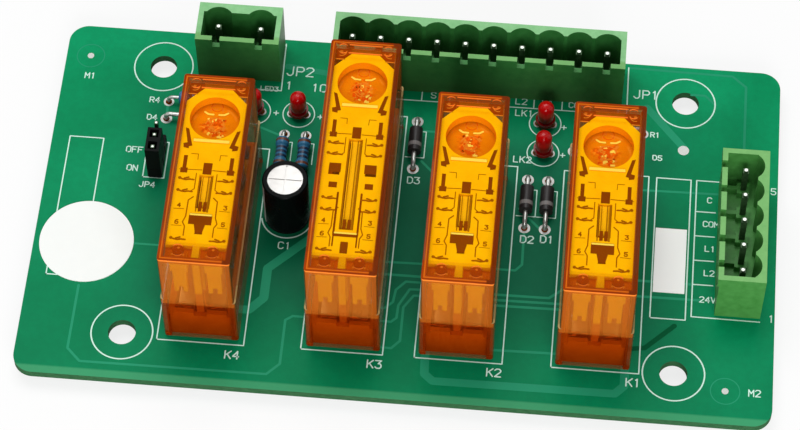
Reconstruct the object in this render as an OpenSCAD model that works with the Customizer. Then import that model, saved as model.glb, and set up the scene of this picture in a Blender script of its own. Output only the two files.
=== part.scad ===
// Relay module board: four sealed force-guided relays, three pluggable
// terminal headers and their small parts on one circuit board.
// Units are millimetres. The origin is the centre of the four mounting
// holes on the board's underside. +X runs along the board, +Y to the back
// row of headers, +Z up through the parts.

/* [Board] */
// Length of the board along X
board_l = 130; // [128:1:150]
// Width of the board along Y
board_w = 73; // [72:1:90]
// Thickness of the board
board_t = 1.6; // [1:0.1:2.4]
// Radius of the board's corners
board_r = 3.5; // [1:0.5:6]
// How far the board's centre lies left of the hole pattern's centre
board_shift_x = 0.5; // [0:0.1:0.8]
// How far the board's centre lies in front of the hole pattern's centre
board_shift_y = 0.6; // [0:0.1:0.6]

/* [Mounting holes] */
// Hole spacing along X
mount_dx = 95; // [94:0.5:97]
// Hole spacing along Y
mount_dy = 56; // [54:0.5:58]
// Diameter of each mounting hole
mount_d = 4.8; // [3:0.1:5.4]

/* [Relays] */
// Outer width of a relay
relay_w = 12.2; // [12.2:0.1:13.4]
// Length of a four-pole relay
relay_l4 = 37.6; // [37.6:0.2:42]
// Length of a six-pole relay
relay_l6 = 47; // [47:0.2:52]
// Height of a relay above the board
relay_h = 25.2; // [24.8:0.2:30]
// Standing height of the relay's feet
foot_h = 0.3; // [0.2:0.1:0.8]
// Wall of the clear cover
cover_t = 0.7; // [0.5:0.05:0.9]
// Height over the board up to which the cover is a little wider
flare_h = 12.4; // [11:0.2:13]
// How much wider the cover's lower part is on each side
flare = 0.3; // [0.1:0.1:0.4]
// Roof of the clear cover
cover_roof = 0.9; // [0.6:0.05:1.2]
// Centre of relay K1
k1_x = 33.6; // [33.2:0.1:34]
// Centre of relay K2
k2_x = 10.2; // [9.8:0.1:10.6]
// Centre of relay K3
k3_x = -9.2; // [-9.4:0.1:-8.8]
// Centre of relay K4
k4_x = -33.6; // [-34:0.1:-33.2]
// Distance from the origin to the relays' front faces
relay_front = 28.1; // [27.6:0.1:28.8]

/* [Relay base and pins] */
// Floor of the relay base
base_floor = 1.9; // [1.4:0.1:2.6]
// Height of the base's rim above the board
base_rim = 6.4; // [5.8:0.1:8.2]
// Wall of the base's rim
base_wall = 0.8; // [0.6:0.05:0.9]
// Spacing of the contact pins along the relay
pin_pitch = 5.08; // [5:0.02:5.1]
// Spacing of the two pin rows
pin_rows = 7.62; // [7.4:0.02:7.66]
// Width of a relay pin
pin_w = 0.8; // [0.6:0.05:1]
// Thickness of a relay pin
pin_t = 0.5; // [0.4:0.05:0.7]
// Distance from a relay's front face to its first pins
pin_inset = 3.3; // [3:0.1:3.8]

/* [Coil and armature] */
// Distance from a relay's rear face to the coil's axis
coil_inset = 8; // [7.8:0.1:8.4]
// Diameter of the winding
coil_d = 8.6; // [7.4:0.1:9.2]
// Diameter of the bobbin's top flange
flange_d = 9.6; // [9.4:0.1:10]
// Thickness of the bobbin's flanges
flange_t = 1; // [0.6:0.1:1.2]
// Diameter of the steel core
core_d = 3.2; // [2.4:0.1:3.8]
// Diameter of the core's pole head
pole_d = 5; // [4:0.1:6]
// Thickness of the pole head
pole_t = 0.8; // [0.6:0.1:1]
// Thickness of the yoke
yoke_t = 1.2; // [0.8:0.1:1.4]
// Distance from the relay's top down to the hinge edge
hinge_drop = 5.8; // [5.6:0.1:6.4]
// Thickness of the armature
armature_t = 1.2; // [0.8:0.1:1.4]
// Width of the armature
armature_w = 7.6; // [6:0.1:8.4]
// Thickness of the armature's leg
leg_t = 1; // [0.8:0.1:1.2]
// Width of the armature's leg
leg_w = 5; // [3:0.1:6]
// Lower end of the armature's leg above the board
leg_end_z = 9; // [8.9:0.1:9.4]
// Open gap between the armature and the pole head
air_gap = 0.7; // [0.65:0.05:0.9]

/* [Contacts and slider] */
// Thickness of the slider's spine
spine_t = 1.2; // [0.8:0.1:1.6]
// Width of the slider's top rib
rib_w = 1.6; // [1.2:0.1:2]
// Thickness of each pushing finger
finger_t = 0.8; // [0.6:0.1:1]
// Distance from the relay's top down to the fingers' underside
finger_drop = 10.7; // [10.4:0.1:11.4]
// Height of the fingers
finger_h = 2; // [1.4:0.1:2.4]
// Width of a contact blade
blade_w = 2.6; // [2:0.1:2.8]
// Thickness of a moving contact spring
spring_t = 0.3; // [0.2:0.05:0.4]
// Thickness of a fixed contact
fixed_t = 0.4; // [0.3:0.05:0.5]
// Distance from a moving spring to its fixed contact
contact_reach = 1.7; // [1.6:0.05:2]
// Distance from the relay's top down to the contact points
contact_drop = 6.8; // [6.4:0.1:7.2]
// Diameter of a contact rivet
rivet_d = 1.8; // [1.2:0.1:2]
// Thickness of a contact rivet
rivet_t = 0.35; // [0.2:0.05:0.4]

/* [Yellow carrier] */
// Thickness of the carrier's top plate
carrier_t = 1.8; // [1.2:0.1:2]
// Width of the carrier's top plate
carrier_w = 10.4; // [9.8:0.1:10.5]
// Gap between the carrier and the cover's roof
carrier_gap = 0.25; // [0.1:0.05:0.5]
// Diameter of the round window over the coil
window_d = 8.6; // [7.6:0.1:8.8]
// Cut across each corner of the eight-sided head
head_cut = 2.8; // [1.5:0.1:3]
// Distance from the relay's rear face to the carrier
carrier_rear = 2; // [1.9:0.1:2.6]
// Distance from the relay's front face to the carrier's plate
carrier_front = 3.8; // [3.2:0.1:4]
// Width of the carrier's front legs
leg_wide = 3; // [2.6:0.1:3.2]
// Width of the legs at the waist
leg_waist = 2.3; // [1.8:0.1:2.4]
// Length of the legs' wide top
leg_top_h = 4.6; // [4:0.1:5]
// Length of the legs' narrow middle
leg_waist_h = 4.9; // [4:0.1:5.2]
// Length of the two prongs at a leg's end
leg_foot_h = 1.6; // [1:0.1:2]
// Width of the dark T-shaped opening
tee_w = 3.8; // [3:0.1:4]
// Length of the T-shaped opening's arm
tee_arm = 2.1; // [1.6:0.1:2.4]
// Length of the T-shaped opening's stem
tee_stem = 2; // [1.6:0.1:2.4]
// Distance from the relay's front face to the T-shaped opening
tee_front = 6.2; // [6:0.1:6.6]
// Width of the small openings along the middle
peep_w = 1.3; // [1:0.1:1.6]
// Size of the square openings of the six-pole relay
square_w = 1.9; // [1.6:0.1:2.1]
// Width of the slot that the slider's rib runs in
slot_w = 2.4; // [2.2:0.1:2.8]

/* [Pluggable headers] */
// Pin spacing of the ten-way and five-way headers
header_pitch = 5.08; // [5:0.02:5.2]
// Pin spacing of the two-way header
wide_pitch = 7.62; // [7.4:0.02:7.8]
// Height of the housings above the board
header_h = 12; // [11.5:0.1:14]
// Distance from the pins to the notched wall's face
header_front = 4.25; // [4:0.05:4.4]
// Distance from the pins to the scalloped wall's face
header_back = 3.95; // [3.8:0.05:4.2]
// Thickness of the notched wall and the end walls
header_wall = 0.95; // [0.7:0.05:1.1]
// Thickness of the scalloped wall between the scallops
scallop_wall = 1.95; // [1.6:0.05:2.2]
// Thickness of the scalloped wall at the deepest point
scallop_thin = 0.8; // [0.6:0.05:1]
// Radius of each scallop
scallop_r = 2.75; // [2.5:0.05:3]
// Wall and clearance past the last pin, beyond half a pitch
header_end = 0.75; // [0.6:0.05:1]
// Wall and clearance past the wide header's last pin
wide_end = -0.1; // [-0.2:0.05:0.1]
// Floor of the plug socket above the board
socket_floor = 3.4; // [2.5:0.1:4.5]
// Width of the notch in front of each pin
notch_w = 1.4; // [1:0.1:2]
// Depth of the notch in front of each pin
notch_d = 2; // [1:0.1:3]
// Depth that the wall below the rim stands back
rim_step = 0.3; // [0.1:0.05:0.4]
// Height of the rim band
rim_h = 2.2; // [1.5:0.1:3]
// Size of the header pins across flats
header_pin = 1; // [0.8:0.05:1.05]
// Height of the header pins' tips above the board
header_pin_z = 10.5; // [9.5:0.1:11]
// Size of the boss around each header pin
boss_w = 2.2; // [1.8:0.1:3]
// Height of the boss around each header pin
boss_h = 1.2; // [0.6:0.1:1.6]

/* [Jumper] */
// Distance from relay K4's centre to the jumper header
jp4_offset = 12.4; // [12.2:0.1:13]
// Pin spacing of the jumper header
jumper_pitch = 2.54; // [2.5:0.01:2.6]
// Size of the jumper header's pins
jumper_pin = 0.64; // [0.5:0.02:0.7]
// Height of the jumper header's plastic strip
strip_h = 2.54; // [2:0.1:3]
// Height of the jumper pins' tips above the board
jumper_pin_z = 8.2; // [7.9:0.1:8.3]
// Width of the shunt
shunt_w = 2.5; // [2.3:0.1:2.8]
// Height of the shunt
shunt_h = 6; // [5.9:0.1:6.6]
// Wall of the shunt
shunt_wall = 0.45; // [0.35:0.05:0.5]

/* [Small parts] */
// Diameter of an indicator lamp's dome
led_d = 2.9; // [2.6:0.1:3.2]
// Diameter of an indicator lamp's flange
led_flange_d = 3.5; // [3.4:0.1:4]
// Height of an indicator lamp
led_h = 5.3; // [4.4:0.1:6]
// Height of an indicator lamp above the board
led_lift = 1; // [0.6:0.1:2]
// Lead spacing of an indicator lamp
led_pitch = 2.54; // [2.4:0.02:2.6]
// Diameter of a diode's body
diode_d = 2.4; // [2:0.1:2.8]
// Length of a diode's body
diode_l = 4.9; // [4:0.1:5.6]
// Diameter of a resistor's end caps
resistor_d = 2.4; // [2:0.1:2.8]
// Length of a resistor's body
resistor_l = 6.3; // [5.6:0.1:6.8]
// Hole spacing of diodes and resistors
axial_pitch = 10.16; // [9.8:0.02:10.6]
// Gap between axial bodies and the board
axial_lift = 0.4; // [0.2:0.1:1]
// Diameter of a diode's leads
diode_lead_d = 0.8; // [0.6:0.05:0.9]
// Diameter of the other leads
thin_lead_d = 0.6; // [0.45:0.05:0.7]
// Diameter of the capacitor over its sleeve
cap_d = 8; // [7:0.1:8.4]
// Height of the capacitor
cap_h = 11.5; // [10:0.1:16]
// Gap under the capacitor
cap_lift = 0.5; // [0.2:0.1:1]
// Lead spacing of the capacitor
cap_pitch = 3.5; // [3:0.1:4]
// Thickness of the capacitor's sleeve
sleeve_t = 0.15; // [0.1:0.05:0.25]
// Diameter of the round sticker
sticker_d = 16.6; // [12:0.2:17]
// Length of the oblong sticker
label_l = 13.1; // [10:0.1:14]
// Width of the oblong sticker
label_w = 5.5; // [4:0.1:5.8]
// Thickness of the stickers
sticker_t = 0.15; // [0.1:0.05:0.3]

/* [Solder] */
// How far leads stand out under the board
lead_out = 1.5; // [1.2:0.1:2]
// How far the relay pins stand out under the board
pin_out = 1.8; // [1.5:0.1:2.2]
// Height of a solder fillet
fillet_h = 1; // [0.6:0.1:1.1]
// Width of solder around a lead at the board
fillet_w = 0.65; // [0.5:0.05:0.7]

/* [Hidden] */

$fn = 48;
small_fn = 16;
// Overshoot of a cut past the face it leaves
over = 1;
// Clearance of parts that slide or turn on each other
running = 0.1;
// Clearance of parts that slip over each other
slip = 0.05;
// Clearance all round a lead in its drilled hole
drill_gap = 0.2;

// The board's edges
left_x = -board_l / 2 - board_shift_x;
right_x = board_l / 2 - board_shift_x;
back_y = board_w / 2 - board_shift_y;
// Relays: centre x, body length
RELAYS = [[k1_x, relay_l4], [k2_x, relay_l4], [k3_x, relay_l6], [k4_x, relay_l4]];
// Headers: first pin's x and y, turn about Z, number of pins
JP1 = [-13.05, back_y - 5.45, 0, 10];
JP2 = [-37.2, back_y - 5.45, 0, 2];
JP3 = [right_x - 6.5, 7.7, -90, 5];
JP4_X = k4_x - jp4_offset;
JP4_Y = 5.23;
JP4_PINS = 3;
SHUNT_PINS = 2;
// Indicator lamps
LAMPS = [[22.5, 21.4], [22.5, 15.1], [-21.9, 19.7], [-29.9, 19.7]];
// Diodes and resistors: centre x, centre y, turn about Z
DIODES = [[23.8, 4.1, 90], [20.2, 4.1, 90], [-0.4, 14.8, 90], [-40.5, 16.7, 0], [33, 15.9, 0]];
RESISTORS = [[-24, 10.1, 90], [-20.1, 10.1, 90], [-40.5, 20.4, 0], [35.1, 20.7, 0]];
CAP = [-21.6, -2.1];
STICKER = [left_x + 9.3, -10.3];
LABEL = [46, -5.5];

// Heights inside a relay, above the board's top face
floor_z = foot_h + base_floor;
pin_top_z = floor_z + 0.8;
roof_z = relay_h - cover_roof;
carrier_top = roof_z - carrier_gap;
carrier_low = carrier_top - carrier_t;
hinge_z = relay_h - hinge_drop;
finger_z = relay_h - finger_drop;
contact_z = relay_h - contact_drop;
pole_z = hinge_z - air_gap;
coil_low = floor_z + yoke_t;
coil_high = pole_z - pole_t;
// Half widths inside a relay, between its rear posts, and where its front legs stand
leg_x = relay_w / 4 - 0.15;
cover_in = relay_w / 2 - cover_t;
base_out = cover_in + flare - slip;
base_in = cover_in - slip - base_wall;
post_in = base_in - 0.9;
// Where the hinge edge lies, measured from the rear face
hinge_inset = coil_inset + flange_d / 2 + 0.2 + yoke_t;
// Where the slider starts, measured from the rear face
slider_inset = hinge_inset + running + leg_t + running;
slider_low = leg_end_z - 0.2;
// Disc over the armature, and the guide walls beside it
disc_z = hinge_z + armature_t + 0.4;
guide_in = armature_w / 2 + 0.2;
slider_toe_h = 1.7;
slider_back = 1;
slider_front = pin_inset + 1.2;
post_t = 1.2;
// Where the carrier's rear posts start, measured from the rear face
post_inset = slider_inset + slider_back + post_t;

// Contact pins in a row, in pairs, as many as fit in front of the posts
function poles(k) = 2 * floor(((RELAYS[k][1] - post_inset - pin_inset) / pin_pitch + 1) / 2);
// Front end of the slider's top rib: behind the plate's T-shaped opening
function rib_front(k) = tee_front + tee_stem + (poles(k) > 4 ? 0 : tee_arm) + 1.6;
function rear_y(k) = RELAYS[k][1] - relay_front;
function front_y() = -relay_front;
// Contact pins count from the front; each pole has a fixed pin, then a moving one
function pin_y(i) = front_y() + pin_inset + i * pin_pitch;
function coil_pin_y(k) = rear_y(k) - coil_inset + 4.2;
function relay_pin_spots(k) = concat(
    [for (s = [-1, 1], i = [0:poles(k) - 1]) [RELAYS[k][0] + s * pin_rows / 2, pin_y(i)]],
    [for (s = [-1, 1]) [RELAYS[k][0] + s * pin_rows / 2, coil_pin_y(k)]]
);
function row_spots(jp, pitch) = [
    for (i = [0:jp[3] - 1]) [jp[0] + cos(jp[2]) * i * pitch, jp[1] + sin(jp[2]) * i * pitch]
];
function pair_spots(part, pitch) = [
    for (s = [-1, 1]) [part[0] + cos(part[2]) * s * pitch / 2, part[1] + sin(part[2]) * s * pitch / 2]
];
RELAY_SPOTS = [for (k = [0:3]) each relay_pin_spots(k)];
HEADER_SPOTS = concat(
    row_spots(JP1, header_pitch), row_spots(JP2, wide_pitch), row_spots(JP3, header_pitch)
);
JUMPER_SPOTS = [for (i = [0:JP4_PINS - 1]) [JP4_X, JP4_Y + i * jumper_pitch]];
DIODE_SPOTS = [for (d = DIODES) each pair_spots(d, axial_pitch)];
THIN_SPOTS = concat(
    [for (r = RESISTORS) each pair_spots(r, axial_pitch)],
    [for (p = LAMPS) each pair_spots([p[0], p[1], 0], led_pitch)],
    pair_spots([CAP[0], CAP[1], 90], cap_pitch)
);

// A rectangle with true round corners, centred
module round_rect(l, w, r) {
    square([l - 2 * r, w], center = true);
    square([l, w - 2 * r], center = true);
    for (sx = [-1, 1], sy = [-1, 1])
        translate([sx * (l / 2 - r), sy * (w / 2 - r)]) circle(r);
}

// A block from its lowest corner to its highest
module block(low, high) {
    translate(low) cube(high - low);
}

module on_board() {
    translate([0, 0, board_t]) children();
}

// ---------------------------------------------------------------- board
module drills(spots, d) {
    for (p = spots) translate([p[0], p[1], -over]) cylinder(d = d, h = board_t + 2 * over, $fn = small_fn);
}

module board() {
    color("seagreen") difference() {
        translate([-board_shift_x, -board_shift_y, 0])
            linear_extrude(board_t) round_rect(board_l, board_w, board_r);
        for (sx = [-1, 1], sy = [-1, 1])
            translate([sx * mount_dx / 2, sy * mount_dy / 2, -over])
                cylinder(d = mount_d, h = board_t + 2 * over);
        drills(RELAY_SPOTS, pin_w + 2 * drill_gap);
        drills(HEADER_SPOTS, header_pin * sqrt(2) + drill_gap);
        drills(JUMPER_SPOTS, jumper_pin * sqrt(2) + drill_gap);
        drills(DIODE_SPOTS, diode_lead_d + 2 * drill_gap);
        drills(THIN_SPOTS, thin_lead_d + 2 * drill_gap);
    }
}

// --------------------------------------------------------------- relays
// Moves children to relay k, with y = 0 at its front face
module at_relay(k) {
    translate([RELAYS[k][0], front_y(), board_t]) children();
}

// Clear cover with its moulded roof recesses
module cover(k) {
    l = RELAYS[k][1];
    dimple_x = relay_w / 2 - 2.2;
    color([1, 0.55, 0.05, 0.5]) at_relay(k) difference() {
        union() {
            translate([0, l / 2, foot_h])
                linear_extrude(relay_h - foot_h) round_rect(relay_w, l, 0.5);
            translate([0, l / 2, foot_h])
                linear_extrude(flare_h - foot_h) round_rect(relay_w + 2 * flare, l, 0.5);
        }
        block([-cover_in, cover_t, foot_h - over], [cover_in, l - cover_t, roof_z]);
        block(
            [-cover_in - flare, cover_t, foot_h - over],
            [cover_in + flare, l - cover_t, flare_h - cover_t]
        );
        block([-2.9, l - 2.5, relay_h - 0.4], [2.9, l - 0.8, relay_h + over]);
        for (s = [-1, 1]) {
            translate([s * dimple_x, l - 1.7, relay_h - 0.35])
                cylinder(d = 1.9, h = over);
            translate([s * leg_x, carrier_front - 1.5, relay_h - 0.35])
                cylinder(d = 2.2, h = over);
        }
    }
}

// Moulded base: floor, rim, partition under the slider and feet
module base(k) {
    l = RELAYS[k][1];
    edge = cover_t + slip;
    hump = 0.9;
    color([0.85, 0.36, 0.05]) at_relay(k) difference() {
        union() {
            difference() {
                block([-base_out, edge, foot_h], [base_out, l - edge, base_rim]);
                block(
                    [-base_in, edge + base_wall, floor_z],
                    [base_in, l - edge - base_wall, base_rim + over]
                );
            }
            block(
                [-spine_t / 2 - 0.2, edge + base_wall + post_t, floor_z],
                [spine_t / 2 + 0.2, l - slider_inset - slider_back, slider_low - running]
            );
            for (s = [-1, 1])
                block(
                    [s * base_out / 2 - 1.7, edge, base_rim],
                    [s * base_out / 2 + 1.7, edge + base_wall, base_rim + hump]
                );
            for (s = [-1, 1], y = [2 * edge, l - 2 * edge])
                translate([s * (base_out - 1), y, 0]) cylinder(d = 1.2, h = foot_h + base_floor / 2, $fn = small_fn);
        }
        translate([-RELAYS[k][0], -front_y(), 0]) for (p = relay_pin_spots(k))
            block([p[0] - pin_w / 2, p[1] - pin_t / 2, -over], [p[0] + pin_w / 2, p[1] + pin_t / 2, floor_z + over]);
    }
}

// Outline of the carrier's plate: an eight-sided head, then a long plate
module carrier_outline(l) {
    w = carrier_w / 2;
    rear = l - carrier_rear;
    head_end = l - hinge_inset + yoke_t;
    polygon([
        [-w, carrier_front], [w, carrier_front], [w, head_end],
        [w, rear - head_cut], [w - head_cut, rear],
        [-w + head_cut, rear], [-w, rear - head_cut], [-w, head_end]
    ]);
}

// Openings along the middle of the carrier's plate
module carrier_openings(k) {
    l = RELAYS[k][1];
    slot_rear = l - post_inset - 2;
    tee_y = tee_front + tee_stem;
    translate([-peep_w / 2, slot_rear + 0.3]) square([peep_w, peep_w + 0.6]);
    if (poles(k) > 4) {
        // one short slot, thin H-shaped slots and two squares
        translate([-peep_w / 2, tee_front - 1.6]) square([peep_w, tee_arm]);
        translate([-slot_w / 2, tee_y + 1]) square([slot_w, slot_rear - tee_y - 1]);
        for (s = [-1, 1])
            translate([s * (slot_w / 2 + square_w) - square_w / 2, l - 27]) square(square_w);
    } else {
        translate([-slot_w / 2, tee_y + tee_arm + 1]) square([slot_w, slot_rear - tee_y - tee_arm - 1]);
        translate([-tee_w / 2, tee_y]) square([tee_w, tee_arm]);
        translate([-peep_w / 2, tee_front]) square([peep_w, tee_stem + 0.1]);
    }
}

// Yellow carrier: plate over the contacts, rear posts and front legs
module carrier(k) {
    l = RELAYS[k][1];
    w = carrier_w / 2;
    wall_y = cover_t + slip + base_wall;
    bar_y = l - coil_inset - window_d / 2 - 0.8;
    color([1, 0.78, 0.05]) at_relay(k) {
        translate([0, 0, carrier_low]) linear_extrude(carrier_t) difference() {
            carrier_outline(l);
            translate([0, l - coil_inset]) circle(d = window_d);
            carrier_openings(k);
        }
        // rear posts beside the armature's leg
        for (s = [-1, 1])
            block(
                [min(s * post_in, s * base_in), l - post_inset, floor_z],
                [max(s * post_in, s * base_in), l - post_inset + post_t, carrier_low]
            );
        // front rib, down to the base
        block([-spine_t / 2, wall_y, floor_z], [spine_t / 2, wall_y + post_t, carrier_top]);
        // bridge that carries the plate's front edge on the rib
        block([-w, wall_y, carrier_low], [w, carrier_front + 0.1, carrier_low + carrier_t / 2]);
        block([-spine_t / 2, wall_y, carrier_low], [spine_t / 2, carrier_front + 0.1, carrier_top]);
        // raised bar in front of the window
        block([-3.1, bar_y, carrier_low], [3.1, bar_y + 0.6, carrier_top + 0.15]);
        // front legs: wide top, narrow middle and two prongs
        for (s = [-1, 1]) translate([s * leg_x, wall_y, carrier_top]) {
            block([-leg_wide / 2, 0, -leg_top_h], [leg_wide / 2, post_t, 0]);
            block([-leg_waist / 2, 0, -leg_top_h - leg_waist_h], [leg_waist / 2, post_t, -leg_top_h]);
            for (t = [-1, 1])
                block(
                    [min(t * leg_waist / 2, t * 0.4), 0, -leg_top_h - leg_waist_h - leg_foot_h],
                    [max(t * leg_waist / 2, t * 0.4), post_t, -leg_top_h - leg_waist_h]
                );
        }
    }
}

// Bobbin: square foot, tube, flange, and a disc on two walls over the armature
module bobbin(k) {
    l = RELAYS[k][1];
    tube_d = core_d + 2 * slip + 1.2;
    color([0.95, 0.5, 0.1]) at_relay(k) translate([0, l - coil_inset, 0]) difference() {
        union() {
            block([-base_in + slip, -flange_d / 2, coil_low], [base_in - slip, flange_d / 2, coil_low + flange_t]);
            translate([0, 0, coil_low]) cylinder(d = tube_d, h = coil_high - coil_low);
            translate([0, 0, coil_high - flange_t]) cylinder(d = flange_d, h = flange_t);
            translate([0, 0, disc_z]) cylinder(d = flange_d, h = flange_t);
            intersection() {
                translate([0, 0, coil_high - flange_t]) cylinder(d = flange_d, h = disc_z + flange_t - coil_high + flange_t);
                union() for (s = [-1, 1])
                    block(
                        [min(s * guide_in, s * relay_w / 2), -1.6, coil_high - flange_t],
                        [max(s * guide_in, s * relay_w / 2), 1.6, disc_z + flange_t]
                    );
            }
        }
        translate([0, 0, coil_low - over]) cylinder(d = core_d + 2 * slip, h = coil_high - coil_low + 2 * over);
    }
}

module winding(k) {
    low = coil_low + flange_t;
    high = coil_high - flange_t;
    color([0.72, 0.32, 0.12]) at_relay(k) translate([0, RELAYS[k][1] - coil_inset, low]) difference() {
        cylinder(d = coil_d, h = high - low);
        translate([0, 0, -over]) cylinder(d = core_d + 4 * slip + 1.2, h = high - low + 2 * over);
    }
}

// Steel frame: foot, upright and the core with its pole head
module yoke(k) {
    l = RELAYS[k][1];
    hinge_y = l - hinge_inset;
    half = armature_w / 2 - 0.8;
    color([0.62, 0.63, 0.66]) at_relay(k) {
        block([-half, hinge_y, floor_z], [half, l - coil_inset + 2.4, coil_low]);
        block([-half, hinge_y, coil_low], [half, hinge_y + yoke_t, hinge_z - running]);
        translate([0, l - coil_inset, coil_low]) cylinder(d = core_d, h = coil_high - coil_low);
        translate([0, l - coil_inset, coil_high]) cylinder(d = pole_d, h = pole_t);
    }
}

// Bent armature: plate over the pole head and a leg in front of the yoke
module armature(k) {
    l = RELAYS[k][1];
    hinge_y = l - hinge_inset;
    color([0.7, 0.71, 0.74]) at_relay(k) {
        block(
            [-armature_w / 2, hinge_y - running - leg_t, hinge_z],
            [armature_w / 2, l - coil_inset + pole_d / 2 + 1, hinge_z + armature_t]
        );
        block(
            [-leg_w / 2, hinge_y - running - leg_t, leg_end_z],
            [leg_w / 2, hinge_y - running, hinge_z]
        );
    }
}

// Slider: spine, toe behind the armature's leg, top rib and fingers
module slider(k) {
    l = RELAYS[k][1];
    rear = l - slider_inset;
    color([1, 0.85, 0.3]) at_relay(k) {
        block([-spine_t / 2, slider_front, slider_low], [spine_t / 2, rear - slider_back, carrier_low - 0.4]);
        block([-spine_t / 2, rear - slider_back, slider_low], [spine_t / 2, rear, slider_low + slider_toe_h]);
        block([-rib_w / 2, rib_front(k), carrier_low - 0.4], [rib_w / 2, l - post_inset - 2.1, carrier_top - 0.5]);
        for (i = [1:2:poles(k) - 1]) {
            spring_y = pin_inset + i * pin_pitch + spring_t / 2 + running;
            block(
                [-post_in + 0.2, spring_y, finger_z],
                [post_in - 0.2, spring_y + finger_t, finger_z + finger_h]
            );
        }
    }
}

// Blades stand on the pins, between the partition and the base's wall
module contact_blades(k, first) {
    mid = (base_in + spine_t / 2 + 0.2) / 2;
    for (s = [-1, 1], i = [first:2:poles(k) - 1])
        translate([s * mid, pin_inset + i * pin_pitch, 0]) children();
}

module moving_contacts(k) {
    tip_z = contact_z + rivet_d / 2 + 0.3;
    color([0.8, 0.5, 0.25]) at_relay(k) contact_blades(k, 1) {
        block([-blade_w / 2, -spring_t / 2, pin_top_z], [blade_w / 2, spring_t / 2, tip_z]);
        translate([0, -spring_t / 2, contact_z]) rotate([90, 0, 0])
            cylinder(d = rivet_d, h = rivet_t, $fn = small_fn);
    }
}

module fixed_contacts(k) {
    shift = pin_pitch - contact_reach;
    bend_z = pin_top_z + 3;
    tip_z = contact_z + rivet_d / 2 + 0.3;
    color([0.78, 0.6, 0.3]) at_relay(k) contact_blades(k, 0) {
        block([-blade_w / 2, -fixed_t / 2, pin_top_z], [blade_w / 2, fixed_t / 2, bend_z + fixed_t]);
        block([-blade_w / 2, fixed_t / 2, bend_z], [blade_w / 2, shift - fixed_t / 2, bend_z + fixed_t]);
        block([-blade_w / 2, shift - fixed_t / 2, bend_z], [blade_w / 2, shift + fixed_t / 2, tip_z]);
        translate([0, shift + fixed_t / 2, contact_z]) rotate([-90, 0, 0])
            cylinder(d = rivet_d, h = rivet_t, $fn = small_fn);
    }
}

module relay_pins() {
    color("silver") for (p = RELAY_SPOTS)
        block(
            [p[0] - pin_w / 2, p[1] - pin_t / 2, -pin_out],
            [p[0] + pin_w / 2, p[1] + pin_t / 2, board_t + pin_top_z]
        );
}

// -------------------------------------------------------------- headers
// A housing along +X from its first pin, notched wall on the -Y side
module housing(jp, pitch, end) {
    half = pitch / 2 + end;
    length = (jp[3] - 1) * pitch;
    inner = header_back - scallop_wall;
    color([0.25, 0.6, 0.28]) on_board() translate([jp[0], jp[1], 0]) rotate(jp[2]) {
        difference() {
            union() {
                block([-half, -header_front + rim_step, 0], [length + half, header_back, header_h - rim_h]);
                block([-half, -header_front, header_h - rim_h], [length + half, header_back, header_h]);
            }
            block(
                [-half + header_wall, -header_front + header_wall, socket_floor],
                [length + half - header_wall, inner, header_h + over]
            );
            for (i = [0:jp[3] - 1]) translate([i * pitch, 0, 0]) {
                translate([0, header_back - scallop_thin - scallop_r, socket_floor])
                    intersection() {
                        cylinder(r = scallop_r, h = header_h);
                        block(
                            [-min(scallop_r, pitch / 2 - 0.2), 0, 0],
                            [min(scallop_r, pitch / 2 - 0.2), scallop_r + over, header_h]
                        );
                    }
                block(
                    [-notch_w / 2, -header_front - over, header_h - notch_d],
                    [notch_w / 2, -header_front + header_wall + over, header_h + over]
                );
                block([-header_pin / 2, -header_pin / 2, -over], [header_pin / 2, header_pin / 2, header_h]);
            }
        }
        for (i = [0:jp[3] - 1]) translate([i * pitch, 0, socket_floor]) difference() {
            union() {
                block([-boss_w / 2, -boss_w / 2, 0], [boss_w / 2, boss_w / 2, boss_h]);
                block([-0.4, -header_front + header_wall, 0], [0.4, 0, boss_h]);
            }
            block([-header_pin / 2, -header_pin / 2, -over], [header_pin / 2, header_pin / 2, boss_h + over]);
        }
    }
}

module header_pins() {
    tip = 0.3;
    color("silver") for (p = HEADER_SPOTS) translate([p[0], p[1], 0]) {
        block(
            [-header_pin / 2, -header_pin / 2, -pin_out],
            [header_pin / 2, header_pin / 2, board_t + header_pin_z - tip]
        );
        block(
            [-header_pin / 2 + tip / 2, -header_pin / 2 + tip / 2, board_t + header_pin_z - tip],
            [header_pin / 2 - tip / 2, header_pin / 2 - tip / 2, board_t + header_pin_z]
        );
    }
}

// --------------------------------------------------------------- jumper
module jp4_strip() {
    half = jumper_pitch / 2;
    color([0.1, 0.1, 0.1]) on_board() difference() {
        union() {
            for (p = JUMPER_SPOTS) translate([p[0], p[1], 0]) linear_extrude(strip_h) intersection() {
                square(jumper_pitch, center = true);
                rotate(45) square(jumper_pitch * 1.3, center = true);
            }
        }
        for (p = JUMPER_SPOTS)
            block(
                [p[0] - jumper_pin / 2, p[1] - jumper_pin / 2, -over],
                [p[0] + jumper_pin / 2, p[1] + jumper_pin / 2, strip_h + over]
            );
    }
}

module jp4_pins() {
    color("silver") for (p = JUMPER_SPOTS)
        block(
            [p[0] - jumper_pin / 2, p[1] - jumper_pin / 2, -lead_out],
            [p[0] + jumper_pin / 2, p[1] + jumper_pin / 2, board_t + jumper_pin_z]
        );
}

// Shunt over the two front pins, open at the top and the bottom
module jumper_shunt() {
    l = SHUNT_PINS * jumper_pitch - 0.1;
    wall = shunt_wall;
    color([0.08, 0.08, 0.08]) on_board() translate([JP4_X, JP4_Y + jumper_pitch / 2, strip_h]) difference() {
        block([-shunt_w / 2, -l / 2, 0], [shunt_w / 2, l / 2, shunt_h]);
        for (s = [-1, 1])
            block(
                [-shunt_w / 2 + wall, s * l / 4 - l / 4 + wall, -over],
                [shunt_w / 2 - wall, s * l / 4 + l / 4 - wall, shunt_h + over]
            );
        block([-shunt_w / 2 + wall, -wall - 0.1, -over], [shunt_w / 2 - wall, wall + 0.1, shunt_h / 2]);
    }
}

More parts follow.
